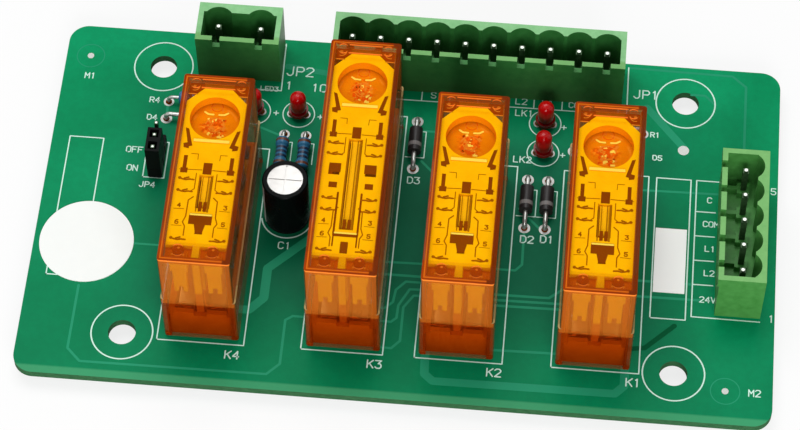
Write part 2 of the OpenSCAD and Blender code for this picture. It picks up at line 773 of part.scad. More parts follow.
// Spring clip inside the shunt, one leaf on each side of the pins
module jumper_clip() {
    l = SHUNT_PINS * jumper_pitch - 0.1;
    leaf = 0.2;
    color([0.8, 0.7, 0.4]) on_board() translate([JP4_X, JP4_Y + jumper_pitch / 2, strip_h]) {
        for (s = [-1, 1])
            block(
                [s * (jumper_pin / 2 + slip + leaf / 2) - leaf / 2, -l / 2 + shunt_wall + slip, 0.3],
                [s * (jumper_pin / 2 + slip + leaf / 2) + leaf / 2, l / 2 - shunt_wall - slip, shunt_h / 2 - 0.2]
            );
        block(
            [-jumper_pin / 2 - slip - leaf, -0.3, shunt_h / 2 - 0.6],
            [jumper_pin / 2 + slip + leaf, 0.3, shunt_h / 2 - 0.2]
        );
    }
}

// ---------------------------------------------------------- small parts
module lamps() {
    flange_t = 0.8;
    color([0.75, 0.05, 0.05]) on_board() for (p = LAMPS) translate([p[0], p[1], led_lift]) {
        cylinder(d = led_flange_d, h = flange_t);
        cylinder(d = led_d, h = led_h - led_d / 2);
        translate([0, 0, led_h - led_d / 2]) sphere(d = led_d, $fn = 24);
    }
}

// Moves children to an axial part, with +X along its body
module at_axial(part, d) {
    on_board() translate([part[0], part[1], axial_lift + d / 2]) rotate(part[2]) children();
}

module diodes() {
    color([0.12, 0.12, 0.12]) for (p = DIODES) at_axial(p, diode_d)
        rotate([0, 90, 0]) cylinder(d = diode_d, h = diode_l, center = true);
}

// Dog-bone body: two round-shouldered caps and a slimmer middle
module resistors() {
    cap_l = 1.5;
    waist = resistor_d * 0.84;
    half = resistor_l / 2;
    r = resistor_d / 2;
    profile = concat(
        [[0, -half]],
        [for (a = [0:15:90]) [r * 0.5 + r * 0.5 * sin(a), -half + 0.5 * (1 - cos(a))]],
        [[r, -half + cap_l], [waist / 2, -half + cap_l + 0.4]],
        [[waist / 2, half - cap_l - 0.4], [r, half - cap_l]],
        [for (a = [90:-15:0]) [r * 0.5 + r * 0.5 * sin(a), half - 0.5 * (1 - cos(a))]],
        [[0, half]]
    );
    color([0.25, 0.45, 0.7]) for (p = RESISTORS) at_axial(p, resistor_d)
        rotate([0, 90, 0]) rotate_extrude() polygon(profile);
}

// One bent lead from a body's end, out along +X and down through the board
module bent_lead(start, reach, height, d) {
    bend = 0.9;
    translate([start, 0, 0]) rotate([0, 90, 0]) cylinder(d = d, h = reach - bend - start, $fn = small_fn);
    translate([reach - bend, 0, -bend]) rotate([90, 0, 0])
        rotate_extrude(angle = 90, $fn = 24) translate([bend, 0]) circle(d = d, $fn = small_fn);
    translate([reach, 0, -height]) cylinder(d = d, h = height - bend, $fn = small_fn);
}

module part_leads() {
    color("silver") {
        for (p = DIODES) at_axial(p, diode_d) for (turn = [0, 180]) rotate(turn)
            bent_lead(diode_l / 2, axial_pitch / 2, axial_lift + diode_d / 2 + board_t + lead_out, diode_lead_d);
        for (p = RESISTORS) at_axial(p, resistor_d) for (turn = [0, 180]) rotate(turn)
            bent_lead(resistor_l / 2, axial_pitch / 2, axial_lift + resistor_d / 2 + board_t + lead_out, thin_lead_d);
        for (p = LAMPS, s = [-1, 1]) translate([p[0] + s * led_pitch / 2, p[1], -lead_out])
            cylinder(d = thin_lead_d, h = lead_out + board_t + led_lift, $fn = small_fn);
        for (s = [-1, 1]) translate([CAP[0], CAP[1] + s * cap_pitch / 2, -lead_out])
            cylinder(d = thin_lead_d, h = lead_out + board_t + cap_lift, $fn = small_fn);
    }
}

// Can with a cross-shaped vent in its top
module capacitor_can() {
    d = cap_d - 2 * sleeve_t;
    vent = 0.15;
    color([0.85, 0.86, 0.88]) on_board() translate([CAP[0], CAP[1], cap_lift]) difference() {
        cylinder(d = d, h = cap_h - sleeve_t);
        for (turn = [0, 90]) rotate(turn)
            block([-cap_d * 0.36, -0.12, cap_h - sleeve_t - vent], [cap_d * 0.36, 0.12, cap_h + over]);
    }
}

// Shrunk sleeve, turned in over the can's top edge
module capacitor_sleeve() {
    r = cap_d / 2;
    lip = 0.9;
    color([0.06, 0.06, 0.07]) on_board() translate([CAP[0], CAP[1], cap_lift]) rotate_extrude()
        polygon([
            [r - sleeve_t, 0], [r, 0], [r, cap_h - 0.2], [r - 0.2, cap_h],
            [r - lip, cap_h], [r - lip, cap_h - sleeve_t], [r - sleeve_t, cap_h - sleeve_t]
        ]);
}

module round_sticker() {
    color("white") on_board() translate([STICKER[0], STICKER[1], 0])
        cylinder(d = sticker_d, h = sticker_t, $fn = 96);
}

module oblong_sticker() {
    color("white") on_board() translate([LABEL[0] - label_w / 2, LABEL[1] - label_l / 2, 0])
        cube([label_w, label_l, sticker_t]);
}

// --------------------------------------------------------------- solder
// A fillet under the board, shaped round the lead it holds
module fillets(spots, across) {
    for (p = spots) translate([p[0], p[1], -fillet_h]) difference() {
        cylinder(r1 = across / 2 + 0.15, r2 = across / 2 + fillet_w, h = fillet_h, $fn = small_fn);
        translate([0, 0, -over]) linear_extrude(fillet_h + 2 * over) children();
    }
}

module solder_joints() {
    color([0.8, 0.81, 0.83]) {
        fillets(RELAY_SPOTS, pin_w) square([pin_w, pin_t], center = true);
        fillets(HEADER_SPOTS, header_pin * 1.2) square(header_pin, center = true);
        fillets(JUMPER_SPOTS, jumper_pin * 1.2) square(jumper_pin, center = true);
        fillets(DIODE_SPOTS, diode_lead_d) circle(d = diode_lead_d, $fn = small_fn);
        fillets(THIN_SPOTS, thin_lead_d) circle(d = thin_lead_d, $fn = small_fn);
    }
}

board();
cover(0);  // k1_cover
base(0);  // k1_base
carrier(0);  // k1_carrier
bobbin(0);  // k1_bobbin
winding(0);  // k1_winding
yoke(0);  // k1_yoke
armature(0);  // k1_armature
slider(0);  // k1_slider
moving_contacts(0);  // k1_moving_contacts
fixed_contacts(0);  // k1_fixed_contacts
cover(1);  // k2_cover
base(1);  // k2_base
carrier(1);  // k2_carrier
bobbin(1);  // k2_bobbin
winding(1);  // k2_winding
yoke(1);  // k2_yoke
armature(1);  // k2_armature
slider(1);  // k2_slider
moving_contacts(1);  // k2_moving_contacts
fixed_contacts(1);  // k2_fixed_contacts
cover(2);  // k3_cover
base(2);  // k3_base
carrier(2);  // k3_carrier
bobbin(2);  // k3_bobbin
winding(2);  // k3_winding
yoke(2);  // k3_yoke
armature(2);  // k3_armature
slider(2);  // k3_slider
moving_contacts(2);  // k3_moving_contacts
fixed_contacts(2);  // k3_fixed_contacts
cover(3);  // k4_cover
base(3);  // k4_base
carrier(3);  // k4_carrier
bobbin(3);  // k4_bobbin
winding(3);  // k4_winding
yoke(3);  // k4_yoke
armature(3);  // k4_armature
slider(3);  // k4_slider
moving_contacts(3);  // k4_moving_contacts
fixed_contacts(3);  // k4_fixed_contacts
relay_pins();
housing(JP1, header_pitch, header_end);  // jp1_housing
housing(JP2, wide_pitch, wide_end);  // jp2_housing
housing(JP3, header_pitch, header_end);  // jp3_housing
header_pins();
jp4_strip();
jp4_pins();
jumper_shunt();
jumper_clip();
lamps();
diodes();
resistors();
part_leads();
capacitor_can();
capacitor_sleeve();
round_sticker();
oblong_sticker();
solder_joints();
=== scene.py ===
import bpy
import math
import random
from mathutils import Matrix, Vector


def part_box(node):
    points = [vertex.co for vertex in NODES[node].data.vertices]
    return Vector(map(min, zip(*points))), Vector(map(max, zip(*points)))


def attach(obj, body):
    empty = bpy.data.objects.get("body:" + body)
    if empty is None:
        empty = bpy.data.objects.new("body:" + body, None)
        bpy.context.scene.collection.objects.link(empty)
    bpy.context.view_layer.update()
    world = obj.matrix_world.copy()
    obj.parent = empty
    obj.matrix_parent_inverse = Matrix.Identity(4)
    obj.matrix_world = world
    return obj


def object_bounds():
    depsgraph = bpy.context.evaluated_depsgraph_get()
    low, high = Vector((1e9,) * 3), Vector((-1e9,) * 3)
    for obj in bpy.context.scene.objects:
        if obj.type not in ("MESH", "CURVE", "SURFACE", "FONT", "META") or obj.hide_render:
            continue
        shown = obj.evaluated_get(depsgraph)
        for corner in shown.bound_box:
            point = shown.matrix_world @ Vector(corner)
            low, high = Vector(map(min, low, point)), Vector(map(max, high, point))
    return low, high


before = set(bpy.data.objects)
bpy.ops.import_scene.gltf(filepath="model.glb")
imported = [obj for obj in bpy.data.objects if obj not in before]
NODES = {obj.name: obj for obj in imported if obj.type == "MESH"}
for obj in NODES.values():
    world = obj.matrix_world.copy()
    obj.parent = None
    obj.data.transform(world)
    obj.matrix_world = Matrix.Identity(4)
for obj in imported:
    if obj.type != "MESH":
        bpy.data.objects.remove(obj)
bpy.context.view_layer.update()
MM = 0.001
ROOT = "board_body"
rng = random.Random(7)

# ------------------------------------------------------------ sizes
board_lo, board_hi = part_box("board")
TOP = board_hi.z / MM
LEFT, FRONT = board_lo.x / MM, board_lo.y / MM
RIGHT, BACK = board_hi.x / MM, board_hi.y / MM


class Relay:
    """Place and size of one relay, in millimetres."""

    def __init__(self, name):
        lo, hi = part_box(name + "_cover")
        plate_lo, plate_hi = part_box(name + "_carrier")
        self.name = name
        self.cx = (lo.x + hi.x) / 2 / MM
        self.front = lo.y / MM
        self.length = (hi.y - lo.y) / MM
        # the cover's upper part reaches 0.9 past the carrier on each side
        self.half = (plate_hi.x - plate_lo.x) / 2 / MM + 0.9
        self.low, self.top = lo.z / MM, hi.z / MM
        self.plate = plate_hi.z / MM - 0.15
        self.six = self.length > 42

    def row(self, *places):
        return [self.at(lx, ly) for lx, ly in places]

    def at(self, lx, ly):
        """Point on the board, given from the relay's centre line and its front."""
        return (self.cx + lx, self.front + ly)


RELAYS = [Relay(n) for n in ("k1", "k2", "k3", "k4")]
PITCH = 5.08
PIN_SIDE = 3.81  # a relay's pins stand this far from its centre line
PIN_INSET = 3.3  # and its first pins this far behind its front
DISC_BACK = 8.3  # from a relay's rear to the middle of its orange disc
HEADERS = [(-13.05 + PITCH * i, 30.45) for i in range(10)] + [(-37.2, 30.45), (-29.58, 30.45)]
HEADERS += [(58.0, 7.7 - PITCH * i) for i in range(5)]
JUMPER = [(-46.0, 5.23 + 2.54 * i) for i in range(3)]
LAMPS = [(22.5, 21.4), (22.5, 15.1), (-21.9, 19.7), (-29.9, 19.7)]
CAP = (-21.6, -2.1)
FIDUCIALS = [(-61.1, 29.3), (56.4, -30.7)]
# middle and axis of each lying part; the half hidden ones come last
DIODES = [
    (-0.4, 14.8, (0, -1, 0)), (20.2, 4.1, (0, -1, 0)), (23.8, 4.1, (0, -1, 0)),
    (-40.5, 16.7, (-1, 0, 0)), (33.0, 15.9, (1, 0, 0)),
]
RESISTORS = [
    (-24.0, 10.1, (0, 1, 0)), (-20.1, 10.1, (0, 1, 0)),
    (-40.5, 20.4, (1, 0, 0)), (35.1, 20.7, (1, 0, 0)),
]


# -------------------------------------------------------- materials
def srgb(r, g, b):
    def line(c):
        c /= 255.0
        return c / 12.92 if c <= 0.04045 else ((c + 0.055) / 1.055) ** 2.4

    return (line(r), line(g), line(b), 1.0)


def shade(color, k):
    return tuple(min(1.0, c * k) for c in color[:3]) + (1.0,)


class Graph:
    """Small helper round one material's node tree."""

    def __init__(self, name):
        self.mat = bpy.data.materials.new(name)
        self.mat.use_nodes = True
        self.tree = self.mat.node_tree
        self.shader = self.tree.nodes["Principled BSDF"]

    def new(self, kind, **values):
        n = self.tree.nodes.new(kind)
        for k, v in values.items():
            setattr(n, k, v)
        return n

    def link(self, a, b):
        self.tree.links.new(a, b)

    def coords(self):
        return self.new("ShaderNodeTexCoord").outputs["Object"]

    def math(self, op, a, b=None, clamp=False):
        n = self.new("ShaderNodeMath", operation=op, use_clamp=clamp)
        for socket, v in zip(n.inputs, (a, b)):
            if v is None:
                continue
            if isinstance(v, (int, float)):
                socket.default_value = v
            else:
                self.link(v, socket)
        return n.outputs[0]

    def plus(self, a, b, clamp=False):
        return self.math("ADD", a, b, clamp)

    def minus(self, a, b):
        return self.math("SUBTRACT", a, b)

    def times(self, a, b):
        return self.math("MULTIPLY", a, b)

    def least(self, a, b):
        return self.math("MINIMUM", a, b)

    def most(self, a, b):
        return self.math("MAXIMUM", a, b)

    def noise(self, scale, detail=3.0, rough=0.5, stretch=None):
        n = self.new("ShaderNodeTexNoise")
        n.inputs["Scale"].default_value = scale
        n.inputs["Detail"].default_value = detail
        n.inputs["Roughness"].default_value = rough
        source = self.coords()
        if stretch:
            m = self.new("ShaderNodeMapping")
            m.inputs["Scale"].default_value = stretch
            self.link(source, m.inputs["Vector"])
            source = m.outputs[0]
        self.link(source, n.inputs["Vector"])
        return n.outputs["Fac"]

    def span(self, value, lo, hi, out_lo=0.0, out_hi=1.0, smooth=False):
        n = self.new("ShaderNodeMapRange")
        n.interpolation_type = "SMOOTHSTEP" if smooth else "LINEAR"
        for k, v in (("From Min", lo), ("From Max", hi), ("To Min", out_lo), ("To Max", out_hi)):
            n.inputs[k].default_value = v
        self.link(value, n.inputs["Value"])
        return n.outputs["Result"]

    def mix(self, factor, a, b):
        n = self.new("ShaderNodeMix", data_type="RGBA")
        if isinstance(factor, (int, float)):
            n.inputs["Factor"].default_value = factor
        else:
            self.link(factor, n.inputs["Factor"])
        for i, v in ((6, a), (7, b)):
            if isinstance(v, tuple):
                n.inputs[i].default_value = v
            else:
                self.link(v, n.inputs[i])
        return n.outputs[2]

    def mottle(self, value, a, b, lo=0.3, hi=0.7):
        """Two display colours, mixed where the noise runs from lo to hi."""
        return self.mix(self.span(value, lo, hi), srgb(*a), srgb(*b))

    def feed(self, name, value):
        """Sets one input of the shader to a plain value or to a socket."""
        if isinstance(value, (int, float, tuple)):
            self.shader.inputs[name].default_value = value
        else:
            self.link(value, self.shader.inputs[name])

    def sheen(self, level, ior):
        self.feed("Specular IOR Level", level)
        self.feed("IOR", ior)

    def bump(self, height, strength, distance=0.0001):
        n = self.new("ShaderNodeBump")
        n.inputs["Strength"].default_value = strength
        n.inputs["Distance"].default_value = distance
        self.link(height, n.inputs["Height"])
        self.link(n.outputs[0], self.shader.inputs["Normal"])

    def axis(self, name):
        s = self.new("ShaderNodeSeparateXYZ")
        self.link(self.coords(), s.inputs[0])
        return s.outputs[name]

    def normal(self, name):
        s = self.new("ShaderNodeSeparateXYZ")
        self.link(self.new("ShaderNodeNewGeometry").outputs["Normal"], s.inputs[0])
        return s.outputs[name]


# specular level and IOR of what is seen through the covers, which reflects next to nothing
INNER = (0.02, 1.1)


def finish(name, rgb, rough, metal=0.0, vary=0.08, scale=500.0, bump=0.05,
           stretch=None, sheen=(0.2, 1.45)):
    """A moulded, lacquered or metal finish with mottled colour, uneven gloss and a fine surface."""
    g = Graph(name)
    color = srgb(*rgb)
    fine = g.noise(scale, 4.0, 0.6, stretch)
    broad = g.noise(scale * 0.15, 2.0)
    tone = g.span(g.plus(fine, broad), 0.6, 1.4)
    g.feed("Base Color", g.mix(tone, shade(color, 1 - vary), shade(color, 1 + vary)))
    g.feed("Roughness", g.span(fine, 0.3, 0.7, max(0.03, rough - 0.06), rough + 0.06))
    g.feed("Metallic", metal)
    g.sheen(0.5 if metal else sheen[0], sheen[1])
    g.bump(fine, bump)
    return g.mat


def board_material():
    """Green lacquer: brighter along the margins, deeper between the relays, with painted shade
    darkening it toward the front; dark cut edges, partly painted shade.
    """
    g = Graph("board_lacquer")
    x, y = g.axis("X"), g.axis("Y")
    aside = g.math("ABSOLUTE", g.minus(x, (RIGHT + LEFT) / 2 * MM))
    edge_x = g.minus((RIGHT - LEFT) / 2 * MM, aside)
    front = g.minus(y, FRONT * MM)
    back = g.minus(BACK * MM, y)
    margin = g.least(g.least(edge_x, g.plus(front, 0.004)), g.plus(back, 0.002))
    deep = g.span(margin, 0.008, 0.030, 0.0, 1.0, smooth=True)
    weave = g.noise(900, 2.0, 0.6)
    cloud = g.noise(45, 3.0)
    fabric = g.new("ShaderNodeTexChecker")
    fabric.inputs["Scale"].default_value = 1500
    g.link(g.coords(), fabric.inputs["Vector"])
    bright = g.mottle(cloud, (2, 137, 86), (8, 151, 98), 0.35, 0.65)
    dark = g.mottle(cloud, (6, 98, 66), (12, 112, 78), 0.35, 0.65)
    color = g.mix(deep, bright, dark)
    # painted shade: the lacquer darkens toward the front of the board
    color = g.mix(g.span(y, -0.032, 0.030, 0.40, 0.0), color, srgb(4, 92, 60))
    color = g.mix(g.span(weave, 0.4, 0.6, 0.0, 0.10), color, srgb(6, 84, 56))
    rim = g.span(front, 0.0012, 0.0016, 1.0, 0.0)
    color = g.mix(g.times(rim, 0.5), color, srgb(84, 172, 122))
    # the cut edges' own muted green, darkened further with painted shade
    cut_edge_and_shade = g.mottle(g.noise(1200, 3.0, 0.7, (1, 1, 4)), (38, 84, 52), (66, 112, 74))
    level = g.span(g.math("ABSOLUTE", g.normal("Z")), 0.4, 0.6)
    color = g.mix(level, cut_edge_and_shade, color)
    g.feed("Base Color", color)
    g.feed("Roughness", g.span(level, 0, 1, 0.75, 0.34))
    g.sheen(0.1, 1.25)
    g.bump(g.plus(g.times(fabric.outputs["Fac"], 0.15), weave), 0.04)
    return g.mat


def cover_material(r):
    """Clear amber plastic: deep red-brown where it is thick along the edges; a painted reflection
    makes its front face milky.
    """
    g = Graph(r.name + "_amber")
    across = g.math("ABSOLUTE", g.minus(g.axis("X"), r.cx * MM))
    a = g.minus(r.half * MM, across)
    from_front = g.minus(g.axis("Y"), r.front * MM)
    from_rear = g.minus((r.front + r.length) * MM, g.axis("Y"))
    b = g.least(from_front, from_rear)
    c = g.minus(r.top * MM, g.axis("Z"))
    # the middle one of the three distances is how far a point is from the nearest edge
    edge = g.most(g.least(a, b), g.least(g.most(a, b), c))
    near = g.span(edge, 0.0007, 0.00105, 1.0, 0.0, smooth=True)
    up = g.span(g.normal("Z"), 0.4, 0.7)
    face_front = g.span(g.normal("Y"), -0.8, -0.4, 1.0, 0.0)
    face_side = g.span(g.math("ABSOLUTE", g.normal("X")), 0.4, 0.8)
    cloud = g.noise(160, 3.0)
    amber = g.mottle(cloud, (236, 120, 4), (220, 96, 2))
    # past the carrier's ends the roof looks deep amber
    front_end = g.span(from_front, 0.0036, 0.0039, 1.0, 0.0)
    ends = g.most(front_end, g.span(from_rear, 0.0018, 0.0024, 1.0, 0.0))
    low = g.span(c, 0.0138, 0.0142)
    lines = g.noise(500, 2.0, 0.5, (1, 0.05, 1))
    # painted reflection: the upper front face is milky with the white surroundings; lower down the
    # front keeps a deep red-brown tint
    front_reflection_and_tint = g.mix(low, srgb(214, 116, 36), g.mottle(lines, (140, 36, 2), (162, 52, 4)))
    color = g.mix(face_front, amber, front_reflection_and_tint)
    color = g.mix(face_side, color, srgb(128, 80, 20))
    face_rear = g.span(g.normal("Y"), 0.4, 0.8)
    color = g.mix(face_rear, color, srgb(176, 78, 6))
    color = g.mix(g.times(up, ends), color, srgb(178, 72, 2))
    # painted highlight: a bright salmon line along the top edge of the front face
    painted_lip_highlight = g.times(g.span(c, 0.0003, 0.0005, 1.0, 0.0), face_front)
    rimmed = g.times(near, g.minus(1.0, g.times(face_front, 0.5)))
    # painted highlight: along the lit edges a lighter line runs between two deep ones; painted
    # shade darkens the edge on the +x side, which gets no such line
    line = g.times(g.span(edge, 0.00034, 0.00042), g.span(edge, 0.00058, 0.00066, 1.0, 0.0))
    deep = g.mottle(cloud, (132, 42, 2), (156, 58, 2))
    shaded_right_edge = g.span(g.axis("X"), (r.cx + 4.6) * MM, (r.cx + 4.8) * MM)
    line = g.times(g.times(line, up), g.minus(1.0, shaded_right_edge))
    deep = g.mix(shaded_right_edge, deep, srgb(110, 40, 2))
    deep = g.mix(face_side, deep, srgb(96, 58, 20))
    color = g.mix(rimmed, color, g.mix(line, deep, srgb(204, 98, 14)))
    ledge = g.times(up, g.times(g.span(c, 0.0120, 0.0124), g.span(c, 0.0136, 0.0132)))
    color = g.mix(ledge, color, srgb(186, 158, 104))
    color = g.mix(painted_lip_highlight, color, srgb(250, 136, 50))
    g.feed("Base Color", color)
    alpha = g.plus(0.05, g.times(face_front, g.span(low, 0.0, 1.0, 0.36, 0.20)))
    alpha = g.plus(alpha, g.times(g.most(face_side, face_rear), 0.24))
    alpha = g.plus(alpha, g.times(g.times(up, ends), 0.22))
    alpha = g.plus(alpha, g.times(rimmed, g.span(face_side, 0.0, 1.0, 0.80, 0.40)))
    alpha = g.plus(alpha, g.times(ledge, 0.4))
    alpha = g.plus(alpha, g.times(painted_lip_highlight, 0.6), clamp=True)
    g.feed("Alpha", alpha)
    g.feed("Roughness", g.span(cloud, 0.3, 0.7, 0.06, 0.14))
    g.sheen(0.04, 1.2)
    g.bump(g.noise(220, 2.0), 0.05, 0.0002)
    return g.mat


def carrier_material(r):
    """Bright yellow plate; its window's wall and the ledge at its front look orange."""
    g = Graph(r.name + "_carrier_yellow")
    fine = g.noise(320, 4.0, 0.6)
    yellow = g.mottle(fine, (252, 180, 2), (255, 194, 6))
    wall = g.mottle(fine, (244, 146, 4), (250, 156, 8))
    ledge = g.mottle(fine, (186, 76, 2), (206, 92, 4))
    ly = g.minus(g.axis("Y"), r.front * MM)
    lx = g.math("ABSOLUTE", g.minus(g.axis("X"), r.cx * MM))
    up = g.span(g.normal("Z"), 0.4, 0.7)
    window = g.times(g.minus(1.0, up), g.span(ly, (r.length - 13.2) * MM, (r.length - 13.0) * MM))
    # painted light: the window's wall gets the disc's bright orange, which cancels the shade it
    # lies in
    color = g.mix(window, yellow, wall)
    sunk = g.span(g.axis("Z"), (r.low + 11.8) * MM, (r.low + 12.4) * MM, 1.0, 0.0)
    color = g.mix(sunk, color, srgb(206, 84, 6))
    front = g.times(g.span(ly, 0.0036, 0.0039, 1.0, 0.0), g.times(up, g.span(lx, 0.0006, 0.0008)))
    g.feed("Base Color", g.mix(front, color, ledge))
    g.feed("Roughness", g.span(fine, 0.3, 0.7, 0.38, 0.52))
    g.sheen(*INNER)
    g.bump(fine, 0.05)
    return g.mat


def bobbin_material(r):
    """Orange disc; its middle is a red-orange tangle of moulded ribs with painted glints, and
    painted highlight arcs run round it.
    """
    g = Graph(r.name + "_bobbin_orange")
    fine = g.noise(320, 4.0, 0.6)
    color = g.mottle(fine, (224, 126, 2), (234, 138, 6))
    ly = g.minus(g.axis("Y"), (r.front + r.length - DISC_BACK) * MM)
    lx = g.minus(g.axis("X"), (r.cx - 0.1) * MM)
    far = g.math("SQRT", g.plus(g.times(lx, lx), g.times(ly, ly)))
    wobble = g.span(g.noise(500, 2.0), 0.3, 0.7, -0.0006, 0.0006)
    blob = g.span(g.plus(far, wobble), 0.0014, 0.0027, 1.0, 0.0, smooth=True)
    swirl = g.noise(1100, 2.0, 0.6, (1.0, 1.5, 1.0))
    red = g.mottle(swirl, (196, 58, 2), (244, 104, 10), 0.38, 0.50)
    # painted glints: bright yellow-orange specks where the swirl peaks
    red = g.mix(g.span(swirl, 0.56, 0.62), red, srgb(252, 156, 34))
    color = g.mix(g.times(blob, 0.9), color, red)
    # painted highlight: broken bright arcs round the disc's middle
    arcs = g.math("ABSOLUTE", g.minus(far, 0.0039))
    ring = g.times(g.span(arcs, 0.0001, 0.0003, 0.5, 0.0), g.span(g.noise(300, 1.0), 0.5, 0.56))
    g.feed("Base Color", g.mix(ring, color, srgb(246, 160, 40)))
    g.feed("Roughness", g.span(fine, 0.3, 0.7, 0.38, 0.52))
    g.sheen(*INNER)
    g.bump(fine, 0.05)
    return g.mat


def base_material(r):
    """Moulded base, seen through the cover; painted light and shade make it lighter at its rim and
    darker toward the board.
    """
    g = Graph(r.name + "_base_orange")
    fine = g.noise(260, 4.0, 0.6)
    high = g.mottle(fine, (214, 86, 2), (226, 96, 4))
    shaded_foot = g.mottle(fine, (142, 58, 2), (154, 66, 2))
    # painted shade: the base darkens toward the board
    up = g.span(g.axis("Z"), r.low * MM, (r.low + 7.0) * MM)
    g.feed("Base Color", g.mix(up, shaded_foot, high))
    g.feed("Roughness", g.span(fine, 0.3, 0.7, 0.36, 0.48))
    g.sheen(*INNER)
    g.bump(fine, 0.05)
    return g.mat


def pin_material():
    """Tinned pin: its shaft is painted dark green as a reflection of the dark socket and its shade;
    only its tip shows the bright tinned colour.
    """
    g = Graph("header_pin_metal")
    fine = g.noise(1400, 3.0)
    flat = g.new("ShaderNodeCombineXYZ")
    g.link(g.axis("X"), flat.inputs[0])
    g.link(g.axis("Y"), flat.inputs[1])
    nearest = None
    tips = [(x, y, 0.30) for x, y in HEADERS] + [(x, y, 0.2) for x, y in JUMPER]
    for x, y, size in tips:
        spot = g.new("ShaderNodeVectorMath", operation="DISTANCE")
        g.link(flat.outputs[0], spot.inputs[0])
        spot.inputs[1].default_value = (x * MM, y * MM, 0.0)
        away = g.math("DIVIDE", spot.outputs["Value"], size * MM)
        nearest = away if nearest is None else g.least(nearest, away)
    tip = g.times(g.span(nearest, 0.9, 1.1, 1.0, 0.0), g.span(g.normal("Z"), 0.5, 0.8))
    # painted reflection and shade of the socket on the shaft
    shaft = g.mottle(fine, (34, 58, 34), (58, 82, 54))
    tinned = g.mottle(fine, (226, 230, 222), (240, 243, 236))
    g.feed("Base Color", g.mix(tip, shaft, tinned))
    g.feed("Roughness", g.span(tip, 0, 1, 0.30, 0.45))
    g.feed("Metallic", 0.3)
    g.feed("Specular IOR Level", 0.2)
    g.bump(fine, 0.05)
    return g.mat


def lamp_red():
    """Red lens: painted light makes its dome bright, painted shade leaves it deep red lower down.
    """
    g = Graph("lamp_red")
    cloud = g.noise(220, 3.0)
    dome = g.mottle(cloud, (176, 4, 6), (196, 12, 14))
    body = g.mottle(cloud, (112, 4, 4), (134, 10, 10))
    high = g.span(g.axis("Z"), (TOP + 3.2) * MM, (TOP + 4.0) * MM)
    g.feed("Base Color", g.mix(high, body, dome))
    g.feed("Roughness", g.span(cloud, 0.3, 0.7, 0.10, 0.16))
    g.feed("Specular IOR Level", 0.2)
    g.bump(cloud, 0.02)
    return g.mat


def green_plastic():
    """Header plastic: painted light makes it lighter along its rims and on the five-way header;
    painted shade makes it deep green in its sockets.
    """
    g = Graph("header_green")
    fine = g.noise(700, 4.0, 0.6)
    base = g.mottle(fine, (48, 120, 54), (64, 138, 68))
    rim_z = g.span(g.axis("Z"), (TOP + 11.2) * MM, (TOP + 11.9) * MM)
    up = g.span(g.normal("Z"), 0.5, 0.9)
    # painted light: the up-facing rims are light-toned, less so along the front rims and on the
    # five-way header
    painted_rim_light = g.mottle(fine, (120, 184, 122), (140, 198, 140))
    near = g.most(g.span(g.axis("Y"), 0.0280, 0.0275), g.span(g.axis("X"), 0.049, 0.050))
    painted_rim_light = g.mix(near, painted_rim_light, g.mottle(fine, (104, 166, 92), (120, 180, 106)))
    side = g.span(g.axis("X"), 0.049, 0.050)
    # painted shade: the sockets darken toward their floor, except in the five-way header
    painted_socket_shade = g.span(g.axis("Z"), (TOP + 2.0) * MM, (TOP + 11.5) * MM, 0.60, 0.0)
    low = g.times(painted_socket_shade, g.span(side, 0.0, 1.0, 1.0, 0.0))
    # painted light: the five-way header is lighter all over, where more light falls into it
    base = g.mix(side, base, g.mottle(fine, (62, 130, 56), (80, 150, 74)))
    color = g.mix(low, base, srgb(46, 72, 38))
    color = g.mix(g.times(up, rim_z), color, painted_rim_light)
    g.feed("Base Color", color)
    g.feed("Roughness", g.span(fine, 0.3, 0.7, 0.38, 0.52))
    g.feed("Specular IOR Level", 0.2)
    g.bump(fine, 0.06)
    return g.mat


